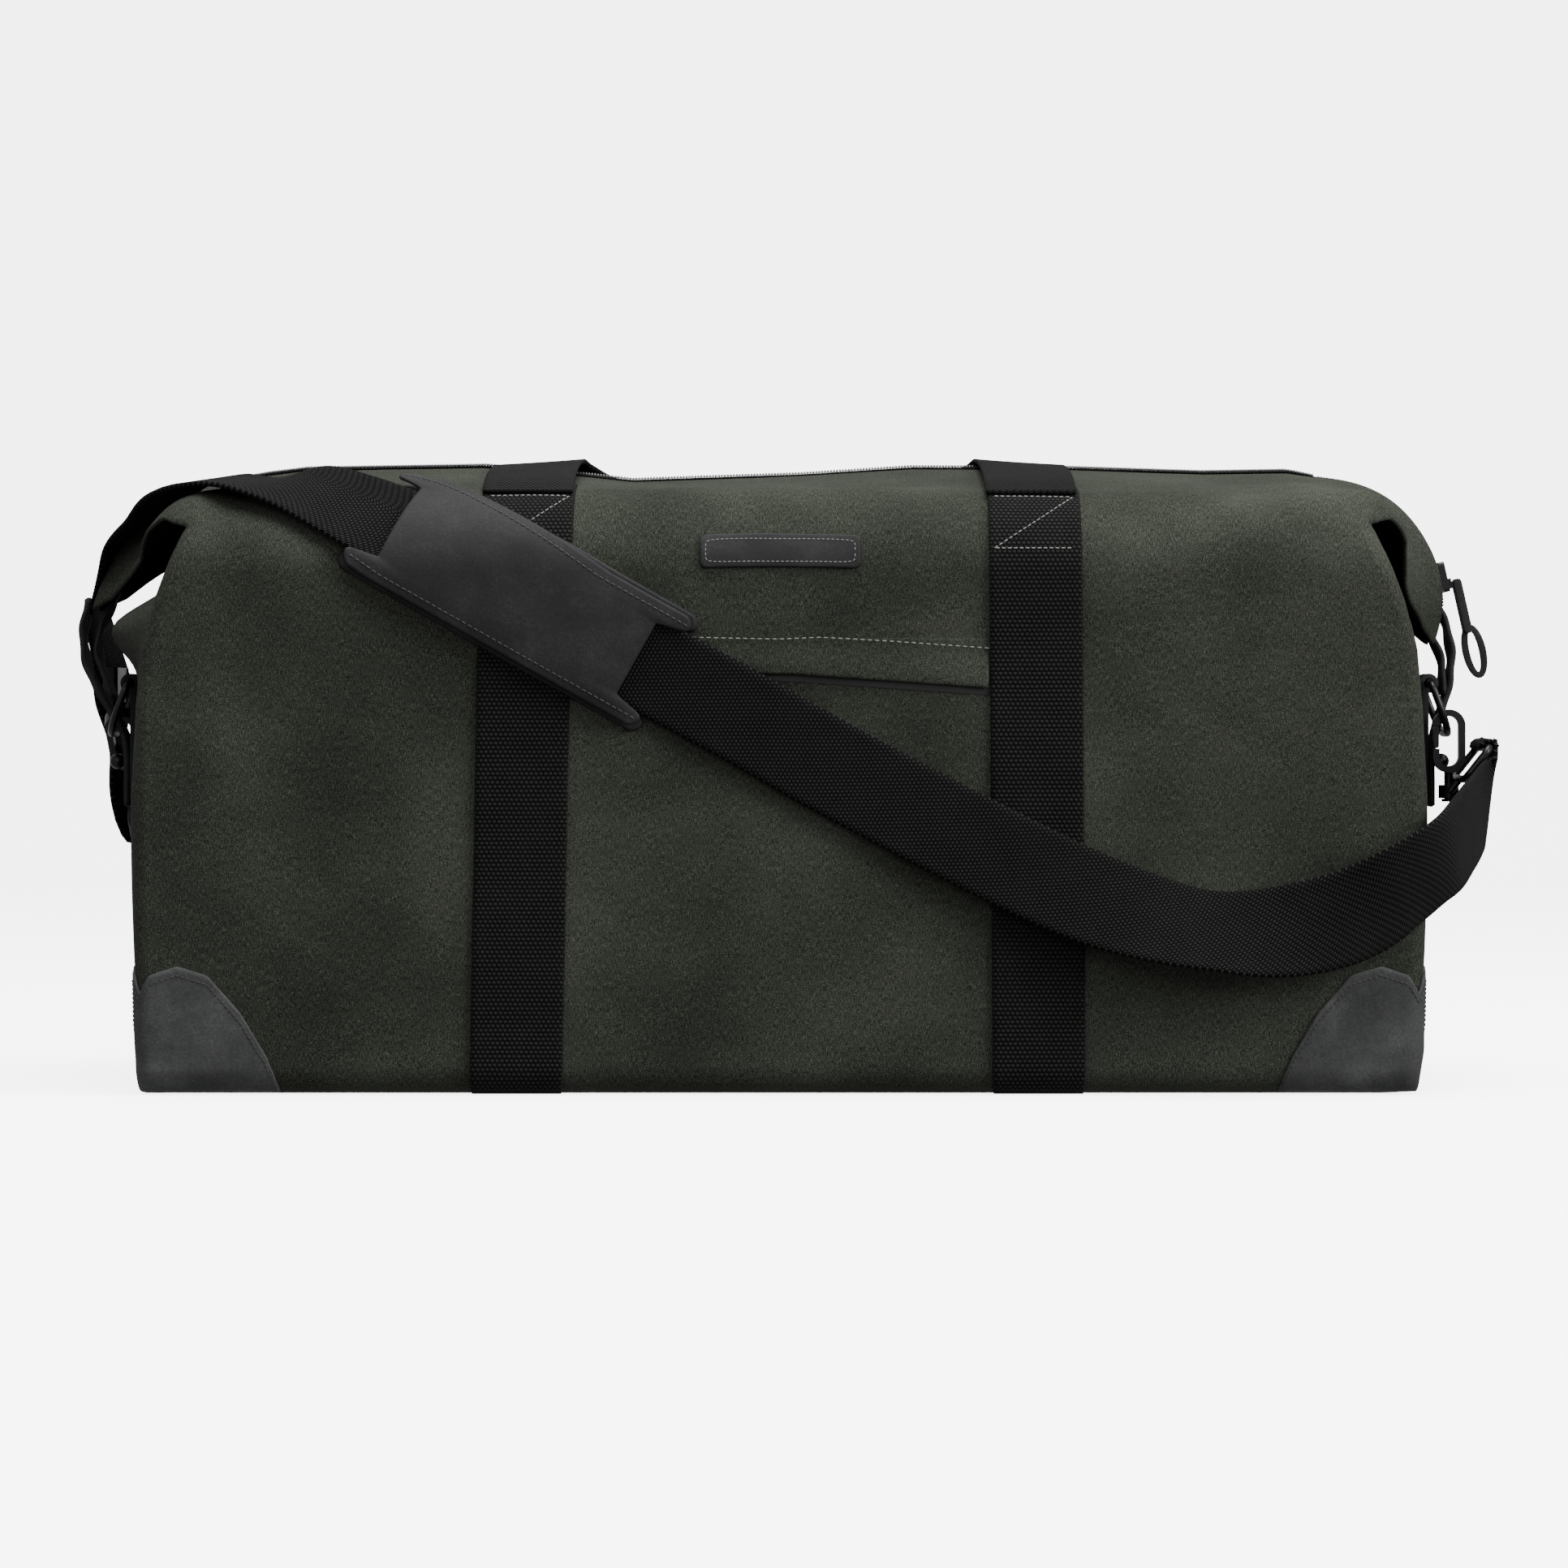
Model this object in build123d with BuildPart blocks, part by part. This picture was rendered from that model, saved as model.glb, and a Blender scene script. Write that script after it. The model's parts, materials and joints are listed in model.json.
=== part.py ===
"""Weekender bag: a canvas holdall with fold-over ends, webbing handles and a clip-on shoulder strap.

Millimetres. +X runs along the bag to its right end, the front faces -Y, and +Z is up. The origin is
the middle of the base, on the floor.
"""

from build123d import *
import math
import os

os.makedirs("parts", exist_ok=True)

# ---- Body ----
bag_length = 562.0
bag_depth = 256.0
shoulder_height = 265.0
crown_rise = 8.0
shoulder_radius = 38.0
end_bulge = 11.8
lean_start = 125.0
lean_inset = 19.0
canvas = 2.0
gap = 0.3
base_thickness = 4.0
base_edge_radius = 3.0
board_thickness = 3.2
board_inset = 11.0
lining_wall = 1.0
lining_inset = 5.5
lining_top_drop = 43.0

# ---- Folded-over ends ----
hood_inset = 36.0
hood_radius = 57.0
hood_angle = 110.0
hood_tip_half = 14.0
hood_root_half = 112.0

# ---- Zip ----
canvas_edge_half = 12.0
tape_thickness = 1.0
chain_half = 3.0
chain_height = 3.6
chain_stands = 1.4
slider_angle = 77.3
zip_angle = 91.0
slider_length = 14.0
slider_half = 4.8
slider_height = 4.2
slider_clearance = 0.9
pull_width = 11.0
pull_thickness = 3.5
pull_drop = 22.0
lace_length = 25.0
lace_width = 10.4
lace_thickness = 2.8
lace_depth = 5.0

# ---- Webbing ----
webbing_width = 40.0
webbing = 2.0
band_offset = 112.0
band_lift = 0.15
band_end_angle = 58.0
handle_thickness = 2.2
handle_reach = 156.0
handle_corner = 42.0
handle_clearance = 1.6
handle_drop = 137.0
handle_end_angle = 64.0

# ---- Leather ----
leather = 3.0
tab_half = 11.0
tab_bottom = 127.0
tab_thickness = 3.2
loop_wall = 2.4
wing_half = 9.0
stud_height = 145.0
stud_post_radius = 2.0
stud_ball_radius = 3.6
hole_clearance = 0.3
patch_reach = 60.0
patch_height = 54.0
patch_leather = 1.6
label_width = 69.4
label_height = 13.5
label_bottom = 230.8
label_thickness = 1.2

# ---- Front pocket ----
pocket_side_gap = 2.0
pocket_top = 180.5
pocket_cloth = 1.6
hem_height = 17.0
slit = 1.2

# ---- Rings and clips ----
ring_wire = 1.65
ring_half = 21.5
ring_drop = 24.5
ring_corner = 14.0
ring_tilt = 20.7
ring_height = 180.7
ring_bore_clearance = 0.35
hook_throat = 4.4
hook_wall = 3.0
hook_arm = 14.0
hook_half = 3.0
hook_side = 14.5
post_radius = 2.0
post_clearance = 0.1
barrel_radius = 4.6
barrel_from_throat = 30.0
barrel_half = 3.0
post_head_radius = 3.2
post_head = 1.3
gate_thickness = 2.4
gate_low = 12.0
gate_high = 1.5
eye_wire = 1.7
eye_side_gap = 4.5
eye_near = 7.5
eye_long = 18.0
eye_corner = 3.5
cheek_offset = 5.2

# ---- Shoulder strap and pad ----
strap_stand = 7.4
strap_slope = -28.6
pad_length = 150.0
pad_width = 55.0
pad_top_thickness = 2.6
pad_back_thickness = 3.0
pad_clearance = 0.4
pad_ear = 17.0
fold_clearance = 0.6
strap_loft_run = 9
adjuster_length = 16.0
adjuster_wall = 4.0
adjuster_thickness = 1.3
adjuster_slot = 4.4

# ---- Worked out ----
eye_half = webbing_width / 2 + eye_side_gap
pocket_half = band_offset - webbing_width / 2 - pocket_side_gap
half_length = bag_length / 2
half_depth = bag_depth / 2
arc_y = half_depth - shoulder_radius
arc_z = shoulder_height - shoulder_radius
crown_z = shoulder_height + crown_rise
hood_x = half_length - hood_inset
hood_z = crown_z - hood_radius
lean_z = shoulder_height - 15.0
wall_low = base_thickness + gap
end_half = half_depth - canvas - gap
end_x = half_length + end_bulge
hood_axis = Axis((hood_x, 0, hood_z), (0, 1, 0))


def finish_part(builder, label):
    """Names a finished piece and writes it."""
    builder.part.label = label
    export_step(builder.part, f"parts/{label}.step")


def edge_x(z):
    """Half the front panel's width at a height: upright low down, then leaning in to the shoulder."""
    lean = max(0.0, z - lean_start) / (lean_z - lean_start)
    return half_length - lean_inset * lean


def wall_strip(inner, outer, low, angle):
    """Closed outline on the YZ plane of a strip that follows the front wall, then its shoulder.

    inner and outer are distances out from the canvas; angle is how far round the shoulder it runs.
    """
    turn = math.radians(angle)
    near, far = shoulder_radius + inner, shoulder_radius + outer
    Line((-half_depth - outer, low), (-half_depth - outer, arc_z))
    CenterArc((-arc_y, arc_z), far, 180, -angle)
    Line(
        (-arc_y - far * math.cos(turn), arc_z + far * math.sin(turn)),
        (-arc_y - near * math.cos(turn), arc_z + near * math.sin(turn)),
    )
    CenterArc((-arc_y, arc_z), near, 180 - angle, angle)
    Line((-half_depth - inner, arc_z), (-half_depth - inner, low))
    Line((-half_depth - inner, low), (-half_depth - outer, low))


def shell_outline():
    """Closed outline on the YZ plane of the front panel: wall, shoulder and its half of the roof."""
    inside = shoulder_radius - canvas
    Line((-half_depth, wall_low), (-half_depth, arc_z))
    CenterArc((-arc_y, arc_z), shoulder_radius, 180, -90)
    Line((-arc_y, shoulder_height), (-canvas_edge_half, crown_z))
    Line((-canvas_edge_half, crown_z), (-canvas_edge_half, crown_z - canvas))
    Line((-canvas_edge_half, crown_z - canvas), (-arc_y, shoulder_height - canvas))
    CenterArc((-arc_y, arc_z), inside, 90, 90)
    Line((-half_depth + canvas, arc_z), (-half_depth + canvas, wall_low))
    Line((-half_depth + canvas, wall_low), (-half_depth, wall_low))


def hood_strip():
    """One end's fold-over: the roof turned down about the hood axis and tapered to its tip."""
    with BuildPart() as strip:
        with BuildSketch(Plane.YZ.offset(hood_x)):
            with BuildLine():
                Polyline(
                    (-arc_y, shoulder_height),
                    (-canvas_edge_half, crown_z),
                    (-canvas_edge_half, crown_z - canvas),
                    (-arc_y, shoulder_height - canvas),
                    close=True,
                )
            make_face()
        revolve(axis=hood_axis, revolution_arc=hood_angle)
        with BuildSketch(Plane.YZ.offset(hood_x + 1.0)):
            with BuildLine():
                Polyline(
                    (-hood_root_half, shoulder_height - canvas - 1.0),
                    (-hood_tip_half, hood_z - hood_radius / 2),
                    (-hood_root_half, hood_z - hood_radius / 2),
                    close=True,
                )
            make_face()
        extrude(amount=2 * hood_radius, mode=Mode.SUBTRACT)
    return strip.part


def roof_run(y_near, y_far, low, high):
    """A strip along the zip line: flat along the roof, then down over both ends."""
    middle_y = (y_near + y_far) / 2
    with BuildPart() as run:
        with BuildSketch(Plane.YZ.offset(hood_x)):
            with Locations((middle_y, crown_z + (low + high) / 2)):
                Rectangle(abs(y_far - y_near), high - low)
        revolve(axis=hood_axis, revolution_arc=zip_angle)
        mirror(about=Plane.YZ)
        with Locations((0, middle_y, crown_z + (low + high) / 2)):
            Box(2 * hood_x, abs(y_far - y_near), high - low)
    return run.part


# ---- Canvas shell ----
hood_piece = hood_strip()

with BuildPart() as front_panel:
    with BuildSketch(Plane.YZ):
        with BuildLine():
            shell_outline()
        make_face()
    extrude(amount=half_length, both=True)
    with BuildSketch(Plane.XZ):
        with BuildLine():
            Polyline(
                (-half_length, 0),
                (half_length, 0),
                (half_length, lean_start),
                (edge_x(lean_z), lean_z),
                (hood_x, crown_z - canvas),
                (hood_x, crown_z + 1),
                (-hood_x, crown_z + 1),
                (-hood_x, crown_z - canvas),
                (-edge_x(lean_z), lean_z),
                (-half_length, lean_start),
                close=True,
            )
        make_face()
    extrude(amount=bag_depth, both=True, mode=Mode.INTERSECT)
    add(hood_piece)
    add(hood_piece.mirror(Plane.YZ))
finish_part(front_panel, "front_panel")

with BuildPart() as back_panel:
    add(front_panel.part.mirror(Plane.XZ))
finish_part(back_panel, "back_panel")

with BuildPart() as base_panel:
    with BuildSketch():
        with BuildLine():
            Line((-half_length, -half_depth), (half_length, -half_depth))
            ThreePointArc((half_length, -half_depth), (end_x, 0), (half_length, half_depth))
            Line((half_length, half_depth), (-half_length, half_depth))
            ThreePointArc((-half_length, half_depth), (-end_x, 0), (-half_length, -half_depth))
        make_face()
    extrude(amount=base_thickness)
    fillet(base_panel.faces().sort_by(Axis.Z)[0].edges(), radius=base_edge_radius)
finish_part(base_panel, "base_panel")

shoulder_inside = shoulder_radius - canvas - gap


def shoulder_half(z):
    """Half the depth inside the shoulder at a height above its springing."""
    return arc_y + math.sqrt(shoulder_inside**2 - (z - arc_z) ** 2)


mid_z = shoulder_height - 13.0
top_z = shoulder_height - canvas - 4.0
end_sections = (
    (wall_low, half_length, end_half, end_bulge),
    (lean_start, half_length, end_half, end_bulge),
    (arc_z, edge_x(arc_z), end_half, end_bulge),
    (mid_z, edge_x(mid_z), shoulder_half(mid_z), end_bulge * 0.7),
    (top_z, edge_x(top_z), shoulder_half(top_z), end_bulge * 0.5),
)

with BuildPart() as end_panel_right:
    for z, x, half, bulge in end_sections:
        with BuildSketch(Plane.XY.offset(z)):
            with BuildLine():
                ThreePointArc((x, -half), (x + bulge, 0), (x, half))
                Line((x, half), (x - canvas, half))
                ThreePointArc((x - canvas, half), (x + bulge - canvas, 0), (x - canvas, -half))
                Line((x - canvas, -half), (x, -half))
            make_face()
    loft(ruled=True)
finish_part(end_panel_right, "end_panel_right")

with BuildPart() as end_panel_left:
    add(end_panel_right.part.mirror(Plane.YZ))
finish_part(end_panel_left, "end_panel_left")

# ---- Inside ----
board_low = base_thickness + gap
lining_low = board_low + board_thickness + gap
lining_top = shoulder_height - lining_top_drop
lining_y = half_depth - canvas - 2 * gap

with BuildPart() as base_board:
    with Locations((0, 0, board_low)):
        Box(
            bag_length - 2 * board_inset,
            bag_depth - 2 * board_inset,
            board_thickness,
            align=(Align.CENTER, Align.CENTER, Align.MIN),
        )
    fillet(base_board.edges().filter_by(Axis.Z), radius=board_inset)
finish_part(base_board, "base_board")


def lining_outline(inset, low, high):
    """The lining's shape seen from the front, a distance in from the end panels."""
    Polyline(
        (-half_length + inset, low),
        (half_length - inset, low),
        (half_length - inset, lean_start - gap),
        (edge_x(high) - inset, high),
        (-edge_x(high) + inset, high),
        (-half_length + inset, lean_start - gap),
        close=True,
    )


with BuildPart() as lining:
    with BuildSketch(Plane.XZ):
        with BuildLine():
            lining_outline(lining_inset, lining_low, lining_top)
        make_face()
    extrude(amount=lining_y, both=True)
    with BuildSketch(Plane.XZ):
        with BuildLine():
            lining_outline(lining_inset + lining_wall, lining_low + lining_wall, lining_top)
        make_face()
    extrude(amount=lining_y - lining_wall, both=True, mode=Mode.SUBTRACT)
finish_part(lining, "lining")

# ---- Zip ----
tape_outer = canvas_edge_half - gap
tape_inner = chain_half + 0.2
tape_low = -canvas / 2 - tape_thickness / 2

with BuildPart() as zip_tape_front:
    add(roof_run(-tape_outer, -tape_inner, tape_low, tape_low + tape_thickness))
finish_part(zip_tape_front, "zip_tape_front")

with BuildPart() as zip_tape_back:
    add(roof_run(tape_inner, tape_outer, tape_low, tape_low + tape_thickness))
finish_part(zip_tape_back, "zip_tape_back")

chain_low = chain_stands - chain_height

with BuildPart() as zip_chain:
    add(roof_run(-chain_half, chain_half, chain_low, chain_stands))
finish_part(zip_chain, "zip_chain")

# the slider and its pull sit on the right fold-over, turned round the hood axis
slide_turn = math.radians(slider_angle)
outward = Vector(math.sin(slide_turn), 0, math.cos(slide_turn))
downhill = Vector(math.cos(slide_turn), 0, -math.sin(slide_turn))
slider_plane = Plane(origin=(hood_x, 0, hood_z), x_dir=downhill, z_dir=outward)
slider_low = hood_radius + chain_stands + slider_clearance
slider_top = slider_low + slider_height
flange_low = hood_radius - canvas / 2 + tape_thickness

with BuildPart() as zip_slider:
    with BuildSketch(slider_plane.offset(slider_low)):
        RectangleRounded(slider_length, 2 * slider_half, slider_half / 3)
    extrude(amount=slider_height * 0.6)
    with BuildSketch(slider_plane.offset(flange_low)):
        with Locations((0, slider_half - 0.7), (0, -slider_half + 0.7)):
            Rectangle(slider_length * 0.7, 1.4)
    extrude(amount=slider_low - flange_low + 0.5)
    with BuildSketch(slider_plane.offset(slider_low)):
        with Locations((slider_length / 4, 0)):
            Rectangle(slider_length / 3, slider_half)
    extrude(amount=slider_height)
finish_part(zip_slider, "zip_slider")

pull_top = Vector(hood_x, 0, hood_z) + outward * (slider_top + 2.4) + downhill * (slider_length / 4)
pull_end = pull_top + Vector(5.0, 0, -pull_drop)
pull_turn = math.degrees(math.atan2(5.0, pull_drop))

with BuildPart() as zip_pull:
    with BuildSketch(Plane.XZ):
        with Locations(((pull_top.X + pull_end.X) / 2, (pull_top.Z + pull_end.Z) / 2)):
            SlotOverall(pull_drop + pull_thickness, pull_thickness, rotation=90 + pull_turn)
    extrude(amount=pull_width / 2, both=True)
    with BuildSketch(Plane.XZ):
        with Locations((pull_end.X + 3.2, pull_end.Z - lace_length / 2 + lace_thickness)):
            Ellipse(lace_width / 2, lace_length / 2, rotation=pull_turn)
            Ellipse(
                lace_width / 2 - lace_thickness,
                lace_length / 2 - lace_thickness,
                rotation=pull_turn,
                mode=Mode.SUBTRACT,
            )
    extrude(amount=lace_depth / 2, both=True)
finish_part(zip_pull, "zip_pull")

# ---- Webbing bands and handles ----
with BuildPart() as band_front_right:
    with BuildSketch(Plane.YZ.offset(band_offset - webbing_width / 2)):
        with BuildLine():
            wall_strip(band_lift, band_lift + webbing, wall_low, band_end_angle)
        make_face()
    extrude(amount=webbing_width)
finish_part(band_front_right, "band_front_right")

with BuildPart() as band_front_left:
    add(band_front_right.part.mirror(Plane.YZ))
finish_part(band_front_left, "band_front_left")

with BuildPart() as band_back_right:
    add(band_front_right.part.mirror(Plane.XZ))
finish_part(band_back_right, "band_back_right")

with BuildPart() as band_back_left:
    add(band_front_left.part.mirror(Plane.XZ))
finish_part(band_back_left, "band_back_left")

handle_outer = band_offset + webbing_width / 2
handle_inner = band_offset - webbing_width / 2
handle_front_y = -arc_y - 14.0
handle_low = crown_z + chain_stands + handle_clearance


def handle_outline(start, reach):
    """A flat U between the two bands, from a start line out to its far edge."""
    far = start + reach
    FilletPolyline(
        (-handle_outer, start),
        (-handle_outer, far),
        (handle_outer, far),
        (handle_outer, start),
        radius=handle_corner + webbing_width,
    )
    Line((handle_outer, start), (handle_inner, start))
    FilletPolyline(
        (handle_inner, start),
        (handle_inner, far - webbing_width),
        (-handle_inner, far - webbing_width),
        (-handle_inner, start),
        radius=handle_corner,
    )
    Line((-handle_inner, start), (-handle_outer, start))


# the front handle lies back over the roof
with BuildPart() as front_handle:
    with BuildSketch(Plane.XY.offset(handle_low)):
        with BuildLine():
            handle_outline(handle_front_y, handle_reach)
        make_face()
    extrude(amount=handle_thickness)
finish_part(front_handle, "front_handle")

# the back handle hangs down outside the back bands
handle_lift = band_lift + webbing + gap
handle_hang_plane = Plane(origin=(0, 0, shoulder_height), x_dir=(1, 0, 0), z_dir=(0, 1, 0))

with BuildPart() as back_handle:
    with BuildSketch(Plane.YZ):
        with BuildLine():
            wall_strip(
                handle_lift,
                handle_lift + handle_thickness,
                shoulder_height - handle_drop - webbing_width,
                handle_end_angle,
            )
        make_face()
        mirror(about=Plane.YZ, mode=Mode.REPLACE)
    extrude(amount=handle_outer, both=True)
    with BuildSketch(handle_hang_plane):
        with BuildLine():
            handle_outline(-5.0, handle_drop + webbing_width + 5.0)
        make_face()
    extrude(amount=bag_depth, mode=Mode.INTERSECT)
finish_part(back_handle, "back_handle")

# ---- Corner patches: a front leaf and an end leaf of one piece of leather ----
bulge_radius = (half_depth**2 + end_bulge**2) / (2 * end_bulge)
bulge_centre = end_x - bulge_radius
patch_wrap = 50.0
patch_low = wall_low


def patch_corner():
    """The right front corner patch: an L in plan, cut to a quarter round on each leaf."""
    inside = gap
    outside = gap + patch_leather
    with BuildPart() as patch:
        with BuildSketch(Plane.XY.offset(patch_low)):
            Circle(bulge_radius + outside)
            Circle(bulge_radius + inside, mode=Mode.SUBTRACT)
        extrude(amount=patch_height)
        trim = Box(
            2 * end_bulge + 20,
            patch_wrap,
            4 * patch_height,
            mode=Mode.PRIVATE,
        )
        trim_y = -half_depth - outside + patch_wrap / 2
        add(trim.move(Location((bulge_radius, trim_y, 0))), mode=Mode.INTERSECT)
    wrapped = patch.part.move(Location((bulge_centre, 0, 0)))
    with BuildPart() as corner:
        add(wrapped)
        with Locations((half_length + inside + patch_leather, -half_depth - outside, patch_low)):
            Box(
                patch_reach,
                patch_leather,
                patch_height,
                align=(Align.MAX, Align.MIN, Align.MIN),
            )
        with BuildSketch(Plane.XZ.offset(half_depth + outside + 1)):
            with Locations((half_length + outside, patch_low)):
                Ellipse(patch_reach, patch_height)
        extrude(amount=-patch_wrap - 10, mode=Mode.INTERSECT)
        with BuildSketch(Plane.YZ.offset(half_length - patch_reach - 5)):
            with Locations((-half_depth - outside, patch_low)):
                Ellipse(patch_wrap, patch_height)
        extrude(amount=patch_reach + 40, mode=Mode.INTERSECT)
    return corner.part


patch_piece = patch_corner()

with BuildPart() as corner_patch_front_right:
    add(patch_piece)
finish_part(corner_patch_front_right, "corner_patch_front_right")

with BuildPart() as corner_patch_front_left:
    add(patch_piece.mirror(Plane.YZ))
finish_part(corner_patch_front_left, "corner_patch_front_left")

with BuildPart() as corner_patch_back_right:
    add(patch_piece.mirror(Plane.XZ))
finish_part(corner_patch_back_right, "corner_patch_back_right")

with BuildPart() as corner_patch_back_left:
    add(patch_piece.mirror(Plane.XZ).mirror(Plane.YZ))
finish_part(corner_patch_back_left, "corner_patch_back_left")

# ---- Label patch, blank ----
label_angle = math.degrees(math.asin((label_bottom + label_height - arc_z) / shoulder_radius))

with BuildPart() as label_patch:
    with BuildSketch(Plane.YZ):
        with BuildLine():
            wall_strip(gap, gap + label_thickness, arc_z - 1.0, label_angle)
        make_face()
    extrude(amount=label_width / 2, both=True)
    with Locations((0, 0, label_bottom)):
        Box(
            2 * label_width,
            2 * bag_depth,
            2 * label_height,
            align=(Align.CENTER, Align.CENTER, Align.MIN),
            mode=Mode.INTERSECT,
        )
finish_part(label_patch, "label_patch")

# ---- Front slip pocket between the bands ----
pocket_face = half_depth + gap

with BuildPart() as front_pocket:
    with Locations((0, -pocket_face, wall_low)):
        Box(
            2 * pocket_half,
            pocket_cloth,
            pocket_top - wall_low,
            align=(Align.CENTER, Align.MAX, Align.MIN),
        )
finish_part(front_pocket, "front_pocket")

with BuildPart() as pocket_hem:
    with Locations((0, -pocket_face, pocket_top + slit)):
        Box(
            2 * pocket_half,
            pocket_cloth,
            hem_height,
            align=(Align.CENTER, Align.MAX, Align.MIN),
        )
finish_part(pocket_hem, "pocket_hem")

# ---- End tab, D-ring, wing strap and stud, for the right end ----
ring_x = end_x + gap + tab_thickness
ring_bore = ring_wire + ring_bore_clearance
ring_down = Vector(math.sin(math.radians(ring_tilt)), 0, -math.cos(math.radians(ring_tilt)))
ring_centre = Vector(ring_x, 0, ring_height)
ring_plane = Plane(
    origin=ring_centre,
    x_dir=(0, 1, 0),
    z_dir=Vector(0, 1, 0).cross(ring_down),
)
loop_radius = ring_bore + loop_wall
tab_x = end_x + gap

with BuildPart() as end_tab_right:
    with BuildSketch(Plane.XZ):
        with Locations((tab_x, tab_bottom)):
            Rectangle(tab_thickness, ring_height - tab_bottom, align=(Align.MIN, Align.MIN))
        with Locations((ring_x, ring_height)):
            Circle(loop_radius)
            Circle(ring_bore, mode=Mode.SUBTRACT)
    extrude(amount=tab_half, both=True)
    with BuildSketch(Plane.YZ.offset(tab_x - 1)):
        with Locations((0, stud_height)):
            Circle(stud_post_radius + hole_clearance)
    extrude(amount=tab_thickness + 3, mode=Mode.SUBTRACT)
finish_part(end_tab_right, "end_tab_right")

with BuildPart() as d_ring_right:
    with BuildLine(ring_plane) as ring_path:
        FilletPolyline(
            (ring_half, 0),
            (ring_half, ring_drop),
            (-ring_half, ring_drop),
            (-ring_half, 0),
            radius=(4.0, ring_corner, ring_corner, 4.0),
            close=True,
        )
    with BuildSketch(Plane(origin=ring_path.line @ 0, z_dir=ring_path.line % 0)):
        Circle(ring_wire)
    sweep(path=ring_path.line)
finish_part(d_ring_right, "d_ring_right")

ring_foot = ring_centre + ring_down * ring_drop
wing_out = ring_x + loop_radius + gap + 0.2
tail_x = ring_x + gap
wing_top_z = hood_z - 3.0
wing_inner = (
    (hood_x + hood_radius + chain_stands + gap, wing_top_z),
    (wing_out, ring_height + 4.0),
    (wing_out - 0.2, ring_height - 3.0),
    (tail_x + 2.4, ring_foot.Z + 1.0),
    (tail_x, stud_height + 5.0),
    (tail_x, tab_bottom - 2.0),
)
wing_outer = (
    (tail_x + leather, tab_bottom - 2.0),
    (tail_x + leather, stud_height + 4.0),
    (tail_x + leather + 1.6, ring_foot.Z),
    (wing_out + 2 * leather - 1.4, ring_height - 7.0),
    (wing_out + 2 * leather, ring_height + 5.0),
    (hood_x + hood_radius + chain_stands + gap + leather, wing_top_z),
)

with BuildPart() as wing_strap_right:
    with BuildSketch(Plane.XZ):
        with BuildLine():
            Polyline(*wing_inner, *wing_outer, close=True)
        make_face()
    extrude(amount=wing_half, both=True)
    with BuildSketch(Plane.YZ.offset(tail_x - 1)):
        with Locations((0, stud_height)):
            Circle(stud_post_radius + hole_clearance)
    extrude(amount=leather + 2, mode=Mode.SUBTRACT)
finish_part(wing_strap_right, "wing_strap_right")

stud_ball_x = tail_x + leather + stud_ball_radius

with BuildPart() as stud_right:
    with BuildSketch(Plane.YZ.offset(tab_x + 0.2)):
        with Locations((0, stud_height)):
            Circle(stud_post_radius)
    extrude(amount=stud_ball_x - tab_x)
    with Locations((stud_ball_x, 0, stud_height)):
        Sphere(stud_ball_radius)
finish_part(stud_right, "stud_right")

for source, label in (
    (end_tab_right, "end_tab_left"),
    (d_ring_right, "d_ring_left"),
    (wing_strap_right, "wing_strap_left"),
    (stud_right, "stud_left"),
):
    with BuildPart() as mirrored:
        add(source.part.mirror(Plane.YZ))
    finish_part(mirrored, label)


# ---- Clips ----
def hook_frame(side, hold, drop, lean_in, lean_back):
    """The plane of a clip: origin at its throat, local X outward, local Z up along its shank.

    hold is where it hangs on its D-ring and drop is how far below that its throat's middle is.
    """
    up = Vector(side * lean_in, -lean_back, 1).normalized()
    across = Vector(0, 1, 0) - up * up.dot(Vector(0, 1, 0))
    out = across.cross(up) * side
    return Plane(origin=hold - up * drop, x_dir=out, z_dir=up)


def upright(frame):
    """The clip's own flat plane: local X outward, local Y up its shank, drawn at its middle."""
    return Plane(origin=frame.origin, x_dir=frame.x_dir, z_dir=frame.x_dir.cross(frame.z_dir))


throat_long = hook_arm + 2 * hook_throat
hook_out = hook_throat + hook_wall
post_low = -barrel_from_throat - barrel_half - 0.3 - post_head


def clip_hook(frame):
    """Hook with an open side for the gate, and the post that its eye turns on."""
    flat = upright(frame)
    with BuildPart() as hook:
        with BuildSketch(flat):
            with Locations((0, -hook_arm / 2)):
                SlotCenterToCenter(hook_arm, 2 * hook_out, rotation=90)
                SlotCenterToCenter(hook_arm, 2 * hook_throat, rotation=90, mode=Mode.SUBTRACT)
            with Locations((-hook_out + hook_wall / 2, -(gate_low - gate_high) / 2)):
                Rectangle(hook_wall + 0.6, gate_low - gate_high, mode=Mode.SUBTRACT)
        extrude(amount=hook_half, both=True)
        with BuildSketch(frame.offset(post_low)):
            Circle(post_radius)
        extrude(amount=-post_low - hook_arm - hook_throat - 0.5)
        with BuildSketch(frame.offset(post_low)):
            Circle(post_head_radius)
        extrude(amount=post_head)
    return hook.part


def clip_gate(frame):
    """Spring gate that closes the hook's open side."""
    flat = upright(frame)
    with BuildPart() as gate:
        with BuildSketch(flat):
            with Locations((-hook_throat - gate_thickness / 2 - 0.2, -(gate_low - gate_high) / 2)):
                SlotOverall(gate_low - gate_high - 2 * gap, gate_thickness, rotation=90)
        extrude(amount=hook_half * 0.8, both=True)
    return gate.part


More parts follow.
